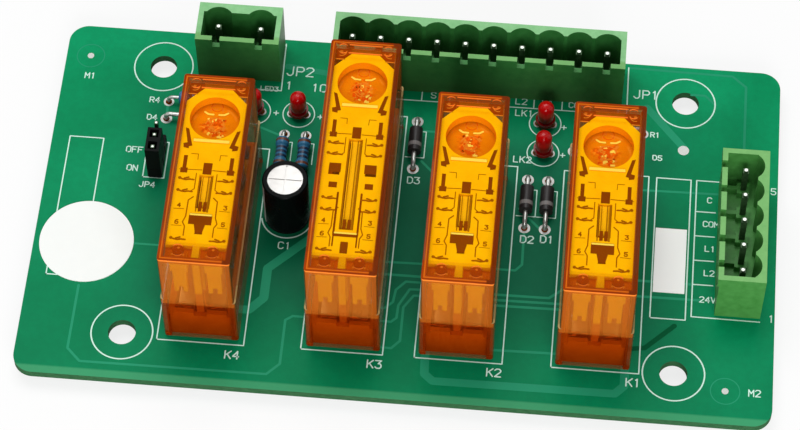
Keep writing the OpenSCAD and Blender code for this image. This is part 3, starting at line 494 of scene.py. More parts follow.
MAT = {
    "board": board_material(),
    "green": green_plastic(),
    "track": finish("track_green", (36, 146, 106), 0.34, vary=0.05, scale=300, bump=0.03,
            sheen=(0.1, 1.25)),
    "dark_gap": finish("gap_green", (6, 84, 50), 0.40, vary=0.06, scale=300, sheen=(0.06, 1.2)),
    "silk": finish("silkscreen_white", (206, 238, 224), 0.6, vary=0.05, scale=1500, bump=0.08),
    "tin": finish("tinned_pad", (168, 170, 166), 0.40, metal=0.3, vary=0.12, scale=900,
            bump=0.15),
    "pin": finish("tinned_pin", (176, 176, 172), 0.30, metal=0.7, vary=0.08, scale=1400,
            bump=0.06),
    "solder": finish("bright_solder", (200, 202, 204), 0.22, metal=0.9, vary=0.10, scale=900,
            bump=0.12),
    "slider": finish("slider_amber", (255, 188, 14), 0.45, vary=0.06, scale=400, sheen=INNER),
    "copper": finish("winding_copper", (176, 92, 40), 0.35, metal=0.6, vary=0.15, scale=240,
            bump=0.6, stretch=(0.05, 0.05, 40)),
    "steel": finish("relay_steel", (150, 134, 110), 0.35, metal=0.8, vary=0.08, scale=700,
            bump=0.1, stretch=(1, 8, 1)),
    "bronze": finish("contact_bronze", (190, 140, 70), 0.32, metal=0.8, vary=0.10, scale=700),
    "black": finish("moulded_black", (15, 17, 16), 0.42, vary=0.15, scale=700, bump=0.12,
            sheen=(0.08, 1.3)),
    "diode": finish("diode_epoxy", (40, 36, 36), 0.34, vary=0.15, scale=800, bump=0.15,
            sheen=(0.25, 1.45)),
    "band": finish("diode_band", (128, 124, 122), 0.45, vary=0.08, scale=900),
    "blue": finish("resistor_lacquer", (40, 104, 142), 0.30, vary=0.10, scale=600, sheen=(0.3,
            1.45)),
    "navy": finish("band_dark", (24, 40, 66), 0.30, vary=0.10, scale=600, sheen=(0.3, 1.45)),
    "brown": finish("band_brown", (96, 54, 34), 0.30, vary=0.10, scale=600, sheen=(0.3, 1.45)),
    "sleeve": finish("capacitor_sleeve_black", (9, 12, 12), 0.26, vary=0.12, scale=260,
            bump=0.08, sheen=(0.06, 1.3)),
    "stripe": finish("capacitor_stripe", (200, 202, 200), 0.30, vary=0.05, scale=500),
    "can": finish("can_aluminium", (206, 205, 202), 0.40, metal=0.3, vary=0.04, scale=900,
            bump=0.06),
    "paper": finish("label_paper", (240, 243, 240), 0.62, vary=0.02, scale=420, bump=0.10),
    # painted light: the oblong label is whiter than the round one, to cancel the shadow a relay
    # casts on it
    "label": finish("label_white_painted_light", (252, 253, 251), 0.62, vary=0.01, scale=420, bump=0.10),
    "red": lamp_red(),
    "header_pin": pin_material(),
    "print": finish("relay_print", (150, 84, 2), 0.5, vary=0.10, scale=900, sheen=INNER),
    # painted shade for holes, slots and steps
    "hollow_shade": finish("relay_hollow_shade", (118, 54, 4), 0.5, vary=0.15, scale=600, sheen=INNER),
    "glint": finish("relay_glint", (255, 226, 84), 0.3, vary=0.05, scale=600, sheen=INNER),
    "deep": finish("relay_deep_red", (150, 50, 2), 0.4, vary=0.15, scale=500, sheen=INNER),
    "olive": finish("relay_olive", (150, 96, 4), 0.45, vary=0.10, scale=500, sheen=INNER),
    "flame": finish("relay_highlight", (232, 134, 34), 0.3, vary=0.08, scale=500, sheen=INNER),
    "ember": finish("relay_ember", (226, 84, 6), 0.3, vary=0.15, scale=500, sheen=INNER),
}


def paint(node, mat):
    mesh = NODES[node].data
    if mesh.materials:
        for i in range(len(mesh.materials)):
            mesh.materials[i] = mat
    else:
        mesh.materials.append(mat)


def soften(node, width, segments=2):
    """Rounds a carried-over solid's edges a little."""
    m = NODES[node].modifiers.new("edge", "BEVEL")
    m.width = width * MM
    m.segments = segments
    m.limit_method = "ANGLE"
    m.angle_limit = math.radians(40)
    m.harden_normals = False


FINISHES = {
    "winding": "copper", "yoke": "steel",
    "armature": "steel", "slider": "slider", "moving_contacts": "bronze",
    "fixed_contacts": "bronze",
}
for relay in RELAYS:
    paint(relay.name + "_cover", cover_material(relay))
    for part, finish_name in FINISHES.items():
        paint(f"{relay.name}_{part}", MAT[finish_name])
    paint(relay.name + "_carrier", carrier_material(relay))
    paint(relay.name + "_bobbin", bobbin_material(relay))
    paint(relay.name + "_base", base_material(relay))
for node, finish_name in {
    "board": "board", "relay_pins": "pin", "jp1_housing": "green", "jp2_housing": "green",
    "jp3_housing": "green", "header_pins": "header_pin", "jp4_strip": "black",
    "jp4_pins": "header_pin",
    "jumper_shunt": "black", "jumper_clip": "bronze", "lamps": "red", "diodes": "diode",
    "resistors": "blue", "part_leads": "pin", "capacitor_can": "can", "capacitor_sleeve": "sleeve",
    "round_sticker": "paper", "oblong_sticker": "label", "solder_joints": "solder",
}.items():
    paint(node, MAT[finish_name])
for node in ("jp1_housing", "jp2_housing", "jp3_housing", "jumper_shunt", "jp4_strip"):
    soften(node, 0.12)
soften("diodes", 0.25, 3)
soften("capacitor_sleeve", 0.12, 3)
soften("header_pins", 0.28, 3)
soften("jp4_pins", 0.2, 3)


# ---------------------------------------------------------- drawing
HAIR = 0.002  # lift between two flat faces that would otherwise lie in one plane


def circle(c, r, n):
    steps = [2 * math.pi * i / n for i in range(n)]
    return [(c[0] + r * math.cos(a), c[1] + r * math.sin(a)) for a in steps]


class Shape:
    """Collects faces in millimetres and turns them into one piece."""

    def __init__(self, name, mat, slot, body=ROOT):
        self.name, self.mat, self.slot, self.body = name, mat, slot, body
        self.verts, self.faces = [], []
        self.layer, self.up = 0, 1

    def add(self, points, level=0):
        """One face; level lifts it by a hair, so that crossing strokes never coincide."""
        n = len(self.verts)
        lift = (self.layer * 3 + level) * HAIR
        self.verts += [(p[0], p[1], p[2] + lift * self.up) for p in points]
        corners = tuple(range(n, n + len(points)))
        self.faces.append(corners if self.up > 0 else corners[::-1])

    def flat(self, points, z):
        self.add([(x, y, z) for x, y in points])

    def strip(self, a, b, width, z, level=0):
        """Flat bar between two points."""
        d = Vector((b[0] - a[0], b[1] - a[1]))
        if d.length < 1e-6:
            return
        n = Vector((-d.y, d.x)).normalized() * width / 2
        corners = ((a, -1), (b, -1), (b, 1), (a, 1))
        self.add([(c[0] + k * n.x, c[1] + k * n.y, z) for c, k in corners], level)

    def disc(self, c, r, z, n=24, level=0):
        self.add([(x, y, z) for x, y in circle(c, r, n)], level)

    def ring(self, c, outer, inner, z, n=40, start=0.0, turn=360.0):
        for i in range(n):
            a0 = math.radians(start + turn * i / n)
            a1 = math.radians(start + turn * (i + 1) / n)
            self.add([
                (c[0] + inner * math.cos(a0), c[1] + inner * math.sin(a0), z),
                (c[0] + outer * math.cos(a0), c[1] + outer * math.sin(a0), z),
                (c[0] + outer * math.cos(a1), c[1] + outer * math.sin(a1), z),
                (c[0] + inner * math.cos(a1), c[1] + inner * math.sin(a1), z),
            ])

    def path(self, points, width, z):
        """Flat line with round corners through the points."""
        self.layer = (self.layer + 1) % 3
        for i, (a, b) in enumerate(zip(points, points[1:])):
            self.strip(a, b, width, z, i % 2)
        for p in points:
            self.disc(p, width / 2, z, 10, 2)

    def rect(self, x0, y0, x1, y1, z):
        self.add([(x0, y0, z), (x1, y0, z), (x1, y1, z), (x0, y1, z)])

    def frame(self, x0, y0, x1, y1, width, z):
        self.path([(x0, y0), (x1, y0), (x1, y1), (x0, y1), (x0, y0)], width, z)

    def tube(self, c, r0, r1, z0, z1, n=20):
        """Upright cone or drum with a flat top."""
        m = len(self.verts)
        for r, z in ((r0, z0), (r1, z1)):
            self.verts += [(x, y, z) for x, y in circle(c, r, n)]
        for i in range(n):
            j = (i + 1) % n
            self.faces.append((m + i, m + j, m + n + j, m + n + i))
        self.faces.append(tuple(m + n + i for i in range(n)))

    def sleeve(self, c, axis, radius, a, b, n=28):
        """Open band round a lying body; c is a point on its axis and axis a unit vector."""
        side = Vector((-axis[1], axis[0], 0))
        m = len(self.verts)
        for t in (a, b):
            for i in range(n):
                w = 2 * math.pi * i / n
                out = side * radius * math.cos(w) + Vector((0, 0, 1)) * radius * math.sin(w)
                self.verts.append(tuple(Vector(c) + Vector(axis) * t + out))
        for i in range(n):
            j = (i + 1) % n
            self.faces.append((m + i, m + j, m + n + j, m + n + i))

    def make(self, smooth=False):
        mesh = bpy.data.meshes.new(self.name)
        mesh.from_pydata([tuple(k * MM for k in v) for v in self.verts], [], self.faces)
        mesh.materials.append(MAT[self.mat] if isinstance(self.mat, str) else self.mat)
        if smooth:
            for p in mesh.polygons:
                p.use_smooth = True
        mesh.update()
        obj = bpy.data.objects.new(self.name, mesh)
        bpy.context.scene.collection.objects.link(obj)
        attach(obj, self.body)
        return obj


def sorted_rect(p, q):
    """Corners of a rectangle, lower left first."""
    return (min(p[0], q[0]), min(p[1], q[1]), max(p[0], q[0]), max(p[1], q[1]))


# Stroke letters on a grid 4 wide and 6 high
GLYPHS = {
    "0": [[(1, 0), (3, 0), (4, 1), (4, 5), (3, 6), (1, 6), (0, 5), (0, 1), (1, 0)]],
    "1": [[(1, 5), (2, 6), (2, 0)]],
    "2": [[(0, 5), (1, 6), (3, 6), (4, 5), (4, 4), (0, 0), (4, 0)]],
    "3": [[(0, 6), (4, 6), (2, 3.6), (3.2, 3.6), (4, 2.6), (4, 1), (3, 0), (1, 0), (0, 1)]],
    "4": [[(3, 0), (3, 6), (0, 2), (4, 2)]],
    "5": [[(4, 6), (0.4, 6), (0.2, 3.4), (3, 3.4), (4, 2.4), (4, 1), (3, 0), (1, 0), (0, 1)]],
    "6": [[(3.6, 6), (1.4, 6), (0, 4), (0, 1), (1, 0), (3, 0), (4, 1), (4, 2.4), (3, 3.4),
           (0, 3.2)]],
    "C": [[(4, 5), (3, 6), (1, 6), (0, 5), (0, 1), (1, 0), (3, 0), (4, 1)]],
    "D": [[(0, 0), (0, 6), (2.6, 6), (4, 4.6), (4, 1.4), (2.6, 0), (0, 0)]],
    "E": [[(4, 0), (0, 0), (0, 6), (4, 6)], [(0, 3.1), (3, 3.1)]],
    "F": [[(0, 0), (0, 6), (4, 6)], [(0, 3.1), (3, 3.1)]],
    "J": [[(3.4, 6), (3.4, 1.2), (2.4, 0), (1, 0), (0, 1.2)]],
    "K": [[(0, 0), (0, 6)], [(4, 6), (0, 2.4)], [(1.4, 3.6), (4, 0)]],
    "L": [[(0, 6), (0, 0), (3.6, 0)]],
    "M": [[(0, 0), (0, 6), (2, 2.6), (4, 6), (4, 0)]],
    "N": [[(0, 0), (0, 6), (4, 0), (4, 6)]],
    "O": [[(1, 0), (3, 0), (4, 1), (4, 5), (3, 6), (1, 6), (0, 5), (0, 1), (1, 0)]],
    "P": [[(0, 0), (0, 6), (3, 6), (4, 5), (4, 3.8), (3, 2.9), (0, 2.9)]],
    "R": [[(0, 0), (0, 6), (3, 6), (4, 5), (4, 3.8), (3, 2.9), (0, 2.9)], [(2, 2.9), (4, 0)]],
    "S": [[(4, 5), (3, 6), (1, 6), (0, 5), (0, 4), (1, 3.2), (3, 2.8), (4, 2), (4, 1), (3, 0),
           (1, 0), (0, 1)]],
    "V": [[(0, 6), (2, 0), (4, 6)]],
    "+": [[(2, 1), (2, 5)], [(0, 3), (4, 3)]],
}


def write(shape, text, x, y, height, z, width):
    """Stroke lettering whose middle is at x, y."""
    unit = height / 6.0
    advance = 5.5 * unit
    total = advance * len(text) - 1.6 * unit
    for i, letter in enumerate(text):
        for line in GLYPHS.get(letter, []):
            pts = []
            for gx, gy in line:
                px = i * advance + gx * unit - total / 2
                pts.append((x + px, y + (gy * unit - height / 2)))
            shape.path(pts, width, z)


# ------------------------------------------------------- the board's face
Z_TRACK, Z_PAD, Z_SILK = TOP + 0.010, TOP + 0.032, TOP + 0.040
Z_PAD_UNDER, Z_TRACK_UNDER = -0.02, -0.012
tracks = Shape("board_tracks", "track", "solder_mask")
LINES = [
    (0.45, [(-56.3, -19.3), (-56.4, -31.9), (-54.0, -34.3), (-21.8, -34.1), (-19.7, -31.9),
            (-19.7, -23.2), (-18.5, -22.3), (-16.0, -22.3)]),
    (0.40, [(-48.2, -10.0), (-40.0, -10.0)]),
    (1.6, [(-16.0, -5.2), (-23.9, -13.1), (-23.9, -19.1), (-26.2, -21.7), (-29.0, -21.7)]),
    (1.5, [(4.9, -27.0), (5.1, -31.7), (6.6, -33.0), (37.7, -32.8), (39.2, -31.2), (39.2, -26.0)]),
    (0.45, [(20.2, -1.0), (20.3, -8.5), (19.2, -9.8), (12.0, -9.8)]),
    (0.45, [(36.9, 35.0), (55.8, 34.7), (58.3, 32.5), (58.3, 12.0)]),
    (1.4, [(40.6, 26.5), (47.5, 18.4)]),
    (0.45, [(38.0, 8.7), (53.9, 9.0)]),
    (0.5, [(38.0, -10.0), (50.5, -10.0)]),
    (0.5, [(38.0, -13.2), (51.5, -13.1)]),
    (0.45, [(-30.0, 16.6), (-28.2, 16.2), (-24.9, 14.9)]),
    (0.45, [(-0.4, 18.0), (4.5, 18.0)]),
    (0.45, [(-45.7, 20.4), (-45.6, 16.7)]),
    (0.45, [(-4.0, -10.0), (6.0, -9.8)]),
    (0.5, [(-4.0, -12.5), (6.0, -12.5)]),
    (0.45, [(-4.0, -19.4), (-2.8, -19.3), (-1.5, -18.0), (-1.2, -15.5), (0.4, -13.7),
            (6.0, -13.7)]),
    (0.45, [(-4.0, -21.9), (-1.5, -22.0), (-0.6, -21.1), (-0.5, -18.6), (1.2, -15.2),
            (6.0, -15.0)]),
    (0.45, [(-4.0, -27.1), (-1.0, -27.2), (0.4, -25.6), (0.4, -18.9), (2.0, -16.4),
            (6.0, -16.2)]),
    (0.5, [(14.0, -15.0), (25.4, -14.9), (30.0, -11.0)]),
    (0.5, [(14.0, -16.1), (30.0, -15.9)]),
    (0.5, [(14.0, -17.2), (30.0, -17.0)]),
    (0.5, [(14.0, -26.1), (30.0, -25.8)]),
    (1.2, [(-25.0, 30.0), (-17.0, 29.0)]),
    (0.45, [(1.0, 11.5), (3.5, 9.0), (3.5, 4.0)]),
    (0.45, [(19.0, 3.0), (24.0, -2.0)]),
    (0.45, [(48.5, 30.0), (51.0, 30.0), (53.0, 28.0)]),
]
for width, points in LINES:
    tracks.path(points, width, Z_TRACK)
tracks.make()
gap = Shape("board_gap", "dark_gap", "solder_mask")
gap.path([(38.5, -24.0), (42.4, -23.4), (47.3, -18.6)], 0.9, Z_TRACK)
gap.make()

silk = Shape("board_printing", "silk", "solder_mask")
LINE = 0.22
for x0, y0, x1, y1 in (
    (-41.35, -28.9, -26.3, 11.7), (-16.45, -28.7, -2.35, 20.8), (3.1, -28.7, 18.2, 11.8),
    (26.55, -28.6, 41.6, 11.7),
    (-62.3, -17.5, -56.2, 11.5), (43.0, -17.3, 49.1, 11.6), (-48.2, 3.95, -44.4, 11.6),
):
    silk.frame(x0, y0, x1, y1, LINE, Z_SILK)
for sx in (-1, 1):
    for sy in (-1, 1):
        silk.ring((47.5 * sx, 28 * sy), 5.45, 5.2, Z_SILK, 48)
for label, x, y, h in (
    ("K4", -28.1, -30.9, 1.8), ("K3", -3.6, -30.6, 1.8), ("K2", 16.9, -30.5, 1.8),
    ("K1", 40.7, -30.4, 1.8),
    ("JP1", 40.3, 29.3, 2.1), ("JP2", -22.6, 29.0, 2.3), ("JP4", -47.2, 2.4, 1.3),
    ("OFF", -50.4, 9.6, 1.4), ("ON", -50.3, 5.7, 1.4), ("1", -24.3, 25.8, 1.9),
    ("10", -18.8, 25.7, 1.9),
    ("C1", -21.5, -8.2, 1.6), ("D3", -0.1, 7.3, 1.6), ("D2", 20.8, -3.3, 1.7),
    ("D1", 24.3, -3.0, 1.7),
    ("R4", -48.2, 20.6, 1.3), ("D4", -48.2, 16.8, 1.3), ("R1", 42.3, 20.7, 1.2),
    ("D5", 42.9, 15.8, 1.2),
    ("LK1", 18.6, 23.4, 1.5), ("LK2", 18.9, 13.4, 1.5), ("LED3", -27.8, 24.8, 1.1),
    ("M1", -60.6, 24.9, 1.4), ("M2", 61.4, -30.7, 1.5),
    ("5", 63.7, 10.4, 1.5), ("1", 63.9, -15.8, 1.6), ("C", 52.5, 7.6, 1.3),
    ("COM", 52.9, 2.6, 1.3), ("L1", 52.9, -2.5, 1.3),
    ("L2", 52.9, -7.5, 1.3), ("24V", 52.8, -12.9, 1.3), ("S", 2.0, 25.9, 1.5),
    ("L2", 17.9, 25.9, 1.5), ("L1", 22.7, 26.0, 1.5), ("COM", 27.9, 25.9, 1.3),
    ("+", -18.0, 19.4, 1.5), ("+", -26.0, 19.6, 1.5), ("+", 25.9, 20.9, 1.5),
    ("+", 26.0, 14.9, 1.5),
):
    write(silk, label, x, y, h * 0.83, Z_SILK, 0.24 if h > 1.6 else 0.2)
for c in LAMPS:
    silk.ring(c, 2.95, 2.75, Z_SILK, 32)
silk.ring(CAP, 4.65, 4.4, Z_SILK, 40, 190, 190)
# table beside the five-way header, and the lines round the other two
silk.path([(61.9, -16.6), (50.1, -16.5), (50.1, 11.6), (54.2, 11.6)], LINE, Z_SILK)
for y in (5.07, 0.02, -5.02, -9.97):
    silk.path([(50.1, y), (53.6, y)], LINE, Z_SILK)
silk.path([(-5.0, 24.5), (37.0, 24.6)], LINE, Z_SILK)
silk.path([(36.9, 35.0), (37.0, 24.6)], LINE, Z_SILK)
for i in range(8):
    silk.path([(-0.1 + PITCH * i, 24.6), (-0.1 + PITCH * i, 26.4)], LINE, Z_SILK)
silk.path([(-25.8, 34.9), (-25.6, 24.5), (-41.0, 24.5)], LINE, Z_SILK)
# brackets beside the diodes and resistors
for x, y, axis in DIODES[:3]:
    corners = [(x + 1.0, y + 3.0), (x + 1.75, y + 3.0), (x + 1.75, y - 2.6), (x - 1.6, y - 2.6)]
    silk.path(corners, 0.18, Z_SILK)
for x, y, axis in RESISTORS[:2]:
    silk.path([(x + 0.9, y + 3.4), (x + 1.6, y + 3.4), (x + 1.6, y - 1.0)], 0.18, Z_SILK)
silk.make()

# pads on both faces; each is a place and a radius
LEADS = [
    ((x + s * PITCH * a[0], y + s * PITCH * a[1]), r)
    for parts, r in ((DIODES, 1.05), (RESISTORS, 0.95)) for x, y, a in parts for s in (-1, 1)
]
LEADS += [((x + s * 1.27, y), 0.85) for x, y in LAMPS for s in (-1, 1)]
LEADS += [((CAP[0], CAP[1] + s * 1.75), 0.9) for s in (-1, 1)]
LEADS += [(c, 0.85) for c in JUMPER]
pads = Shape("board_pads", "tin", "tinned_metal")
pads_under = Shape("board_pads_under", "tin", "tinned_metal")
pads_under.up = -1
# dark collars round the leads: painted shade in the holes in the pads
holes = Shape("pad_hole_shades", "hollow_shade", "solder")
for c, r in LEADS:
    pads.ring(c, r, 0.52, Z_PAD, 28)
    pads_under.ring(c, r, 0.52, Z_PAD_UNDER, 28)
    holes.tube(c, 0.62, 0.42, TOP + 0.01, TOP + 0.22, 16)
for c in HEADERS:
    pads_under.ring(c, 1.35, 0.8, Z_PAD_UNDER, 28)
for relay in RELAYS:
    for s in (-1, 1):
        count = 6 if relay.six else 4
        spots = [relay.at(s * PIN_SIDE, PIN_INSET + PITCH * i) for i in range(count)]
        spots.append(relay.at(s * PIN_SIDE, relay.length - 3.8))
        for c in spots:
            pads_under.ring(c, 1.25, 0.6, Z_PAD_UNDER, 28)
pads.disc((47.5, 17.8), 1.0, Z_PAD, 28)
for c in FIDUCIALS:
    pads.disc(c, 0.6, Z_PAD, 20)
pads.make()
pads_under.make()
holes.make()
marks = Shape("fiducial_rings", "track", "solder_mask")
for c in FIDUCIALS:
    marks.ring(c, 2.6, 2.42, Z_TRACK, 32)
marks.make()

# tracks under the board
under = Shape("under_tracks", "track", "solder_mask")
under.up = -1
for relay in RELAYS:
    count = 6 if relay.six else 4
    for i in range(count):
        y, out = relay.front + PIN_INSET + PITCH * i, 1.6 + 0.8 * (count - 1 - i)
        for s in (-1, 1):
            x = relay.cx + s * PIN_SIDE
            bends = [(x, y), (x + s * out, y + out), (x + s * out, 23.0 - 0.9 * i)]
            under.path(bends, 0.45, Z_TRACK_UNDER)
for x, y in HEADERS:
    under.path([(x, y), (x - 4.2, y) if x > 50 else (x, y - 4.4)], 0.8, Z_TRACK_UNDER)
under.make()

# ---------------------------------------------------------- small parts
bands = Shape("diode_bands", "band", "diode_black")
AXIAL_Z = TOP + 0.4 + 1.2
for x, y, axis in DIODES:
    bands.sleeve((x, y, AXIAL_Z), axis, 1.215, 0.75, 1.55)
bands.make(smooth=True)

for name, colour, radius, places in (
    ("resistor_bands_dark", "navy", 1.02, (-1.0, -0.1, 0.8)),
    ("resistor_bands_brown", "brown", 1.215, (-2.35, 2.35)),
):
    ring = Shape(name, colour, "resistor_blue")
    for x, y, axis in RESISTORS:
        for t in places:
            ring.sleeve((x, y, AXIAL_Z), axis, radius, t - 0.26, t + 0.26)
    ring.make(smooth=True)

stripe = Shape("capacitor_marking", "stripe", "black_sleeve")
for i in range(12):
    a0, a1 = (math.radians(150 + 5 * (i + k)) for k in (0, 1))
    z0, z1 = TOP + 0.7, TOP + 11.6
    r = 4.02
    corners = ((a0, z0), (a1, z0), (a1, z1), (a0, z1))
    stripe.add([(CAP[0] + r * math.cos(a), CAP[1] + r * math.sin(a), z) for a, z in corners])
stripe.make(smooth=True)


# --------------------------------------------------------- relay details
def contact_sign(shape, r, lx, ly, z, s):
    """Small contact symbol: a lead, a sagging blade and a dot."""
    shape.path([r.at(lx + 1.3 * s, ly + 0.25), r.at(lx + 0.7 * s, ly), r.at(lx + 0.1 * s, ly - 0.1),
                r.at(lx - 0.5 * s, ly + 0.05), r.at(lx - 1.2 * s, ly)], 0.3, z)
    shape.path([r.at(lx - 0.3 * s, ly + 0.4), r.at(lx + 0.4 * s, ly + 0.15)], 0.3, z + 0.02)
    shape.disc(r.at(lx + 1.2 * s, ly + 0.2), 0.3, z + 0.02, 8)


def blot(shape, r, lx, ly, size, z):
    """Small four-sided patch, turned at random."""
    turn = rng.uniform(0, math.pi)
    ca, sa = math.cos(turn), math.sin(turn)
    pts = []
    for kx, ky in ((-1, -0.6), (1, -0.5), (0.8, 0.6), (-0.7, 0.5)):
        px, py = kx * size, ky * size
        pts.append(r.at(lx + px * ca - py * sa, ly + px * sa + py * ca))
    shape.flat(pts, z)


for r in RELAYS:
    z = r.plate + 0.02
    rear = r.length
    # brown printing on the carrier's plate
    ink = Shape(r.name + "_printing", "print", "yellow_plastic")
    bold = [26.3, 24.1, 15.2, 12.9, 5.0] if r.six else [16.9, 14.5, 5.0]
    faint = [10.8, 8.2] if r.six else [11.7, 8.4]
    for s in (-1, 1):
        for ly in bold:
            contact_sign(ink, r, s * 3.25, ly, z, s)
        for i, ly in enumerate(faint):
            number = 2 * i + (3 if s > 0 else 4)
            write(ink, str(number), *r.at(s * 3.9, ly), 0.75, z, 0.2)
            ink.path([r.at(s * 4.7, ly - 0.75), r.at(s * 3.0, ly - 0.7)], 0.1, z)
        ink.path(r.row((s * 2.45, 5.8), (s * 2.45, 7.6), (s * 2.9, 8.4), (s * 2.5, 9.6),
                       (s * 2.45, 12.8), (s * 1.7, 13.5)), 0.2, z)
        ink.path([r.at(s * 4.7, rear - 18.75), r.at(s * 0.9, rear - 18.65)], 0.14, z)
        ink.path(r.row((s * 3.05, rear - 15.5), (s * 1.9, rear - 15.5),
                       (s * 1.85, rear - 16.6)), 0.12, z)
        ink.path(r.row((s * 1.75, rear - 19.4), (s * 1.75, rear - 22.5),
                       (s * 2.3, rear - 23.0)), 0.16, z)
    ink.make()
    # painted shade: dark patches over the carrier's holes, slots and steps
    dark = Shape(r.name + "_opening_shades", "hollow_shade", "yellow_plastic")
    zd = z + 0.015
    for s in (-1, 1):
        slit = r.row((s * 4.7, rear - 10.3), (s * 4.1, rear - 10.5),
                     (s * 3.15, rear - 13.9), (s * 3.85, rear - 14.1))
        notch = r.row((s * 4.7, rear - 13.5), (s * 3.7, rear - 13.2),
                      (s * 3.7, rear - 14.5), (s * 4.6, rear - 14.3))
        dark.flat(slit[::-s], zd)
        dark.flat(notch[::-s], zd + 2 * HAIR)
        dark.rect(*r.at(s * 3.95 - 0.32, rear - 19.2), *r.at(s * 3.95 + 0.32, rear - 15.9), zd)
        dark.rect(*r.at(s * 3.95 - 0.6, rear - 19.4), *r.at(s * 3.95 + 0.6, rear - 18.4),
                  zd + 2 * HAIR)
        if r.six:
            dark.rect(*r.at(s * 3.0 - 1.0, rear - 26.5), *r.at(s * 3.0 + 1.0, rear - 24.7), zd)
            dark.rect(*r.at(s * 3.05 - 0.7, rear - 29.6), *r.at(s * 3.05 + 0.7, rear - 28.5), zd)
            dark.path([r.at(s * 2.0, 8.1), r.at(s * 2.0, 16.4)], 0.34, zd)
            dark.path([r.at(s * 2.0, 5.9), r.at(s * 2.0, 8.1)], 0.24, zd)
    dark.rect(*r.at(-0.75, rear - 19.5), *r.at(0.75, rear - 17.2), zd)
    # a bar, or a tee on the shorter relays, in front of the slot
    if r.six:
        dark.rect(*r.at(-2.0, 7.8), *r.at(2.0, 8.3), zd + 2 * HAIR)
        dark.rect(*r.at(-0.6, 4.55), *r.at(0.6, 6.8), zd)
    else:
        dark.rect(*r.at(-1.95, 8.1), *r.at(1.95, 9.9), zd)
        dark.flat(r.row((-0.95, 8.1), (-0.55, 6.3), (0.55, 6.3), (0.95, 8.1)), zd + 2 * HAIR)
    # painted shade: brown strips on the shaded sides of the rib's slot, and dark patches for its
    # deep lower end
    shadow = Shape(r.name + "_slot_sides", "olive", "yellow_plastic")
    first = 9.2 if r.six else 10.6
    for lx, width in ((-1.0, 0.2), (-0.5, 0.14), (0.45, 0.16), (0.95, 0.34)):
        shadow.rect(*r.at(lx - width / 2, first), *r.at(lx + width / 2, rear - 20.0), z + 0.008)
    shadow.make()
    for lx in (-0.35, 0.45):
        dark.rect(*r.at(lx - 0.3, first + 0.1), *r.at(lx + 0.3, first + 2.0), zd + 0.012)
    dark.make()
    glint = Shape(r.name + "_glints", "glint", "yellow_plastic")
    glint.rect(*r.at(-3.05, rear - 13.08), *r.at(3.05, rear - 12.52), r.plate + 0.17)
    if r.six:
        glint.rect(*r.at(-1.9, 8.35), *r.at(1.9, 8.65), zd + 0.01)
    else:
        glint.rect(*r.at(-1.85, 9.85), *r.at(1.85, 10.2), zd + 0.01)
    glint.make()
    # moulded steps and reflections on the disc over the coil
    disc_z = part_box(r.name + "_bobbin")[1].z / MM
    ember = Shape(r.name + "_disc_ember", "ember", "orange_plastic")
    flame = Shape(r.name + "_disc_flame", "flame", "orange_plastic")
    spark = Shape(r.name + "_disc_spark", "glint", "orange_plastic")
    for i in range(46):
        lx, ly = rng.uniform(-1.5, 1.5), rear - rng.uniform(6.6, 10.3)
        size = rng.uniform(0.18, 0.5)
        mark = (ember, flame, ember, spark)[i % 4] if i % 12 else spark
        blot(mark, r, lx, ly, size if i % 4 != 3 else size * 0.5, disc_z + 0.02 + HAIR * (i % 11))
    for i in range(8):
        lx, ly = rng.uniform(-0.8, 0.5), rear - rng.uniform(3.2, 5.0)
        blot(flame, r, lx, ly, 0.16, disc_z + 0.03 + HAIR * i)
    for s in (-1, 1):
        arc = ((s * 2.0 - 0.1, rear - 5.5), (s * 1.4 - 0.1, rear - 5.9),
               (s * 0.5 - 0.1, rear - 5.95))
        spark.path(r.row(*arc), 0.34, disc_z + 0.05)
        arc = ((s * 1.1 - 0.1, rear - 5.4), (s * 0.9 - 0.1, rear - 4.4),
               (s * 0.3 - 0.1, rear - 3.9))
        flame.path(r.row(*arc), 0.16, disc_z + 0.04)
    middle = r.at(-0.1, rear - DISC_BACK)
    for turn, radius in ((20, 1.75), (200, 1.25), (120, 0.8)):
        flame.ring(middle, radius, radius - 0.18, disc_z + 0.04, 20, turn, 150)
    spark.rect(*r.at(0.5, rear - 10.7), *r.at(1.3, rear - 10.3), disc_z + 0.05)
    ember.ring(r.at(-0.1, rear - 4.3), 1.05, 0.92, disc_z + 0.02, 20)
    ember.make()
    flame.make()
    spark.make()
    # bosses and the catch at the rear, domes at the front, under the roof; their light rings, lines
    # and dots are painted highlights
    rear_dark = Shape(r.name + "_rear_steps", "deep", "amber_cover")
    rear_light = Shape(r.name + "_rear_lines", "flame", "amber_cover")
    catch = Shape(r.name + "_rear_catch", "olive", "amber_cover")
    zr = r.plate - 0.3
    rear_dark.rect(*r.at(-r.half + 1.0, rear - 3.2), *r.at(r.half - 1.0, rear - 0.85), zr)
    catch.rect(*r.at(-2.5, rear - 1.75), *r.at(2.5, rear - 0.9), zr + 0.05)
    rear_light.rect(*r.at(-2.6, rear - 0.95), *r.at(2.6, rear - 0.8), zr + 0.06)
    for s in (-1, 1):
        boss = r.at(s * 4.25, rear - 1.45)
        start = 250 if s < 0 else 170
        rear_light.ring(boss, 0.95, 0.8, zr + 0.05, 16, start, 120)
        rear_light.disc(boss, 0.28, zr + 0.05, 12)
        step = sorted_rect(r.at(s * 5.1, rear - 3.35), r.at(s * 3.5, rear - 3.15))
        rear_light.rect(*step, zr + 0.3)
        dome = r.at(s * 2.9, 2.75)
        rear_dark.disc(dome, 1.0, z, 24)
        rear_light.disc((dome[0], dome[1] + 0.55), 0.22, z + 0.03, 10)
        for t in (-1, 1):
            rear_light.disc((dome[0] + t * 0.95, dome[1] - 0.75), 0.2, z + 0.03, 10)
    rear_dark.make()
    rear_light.make()
    catch.make()
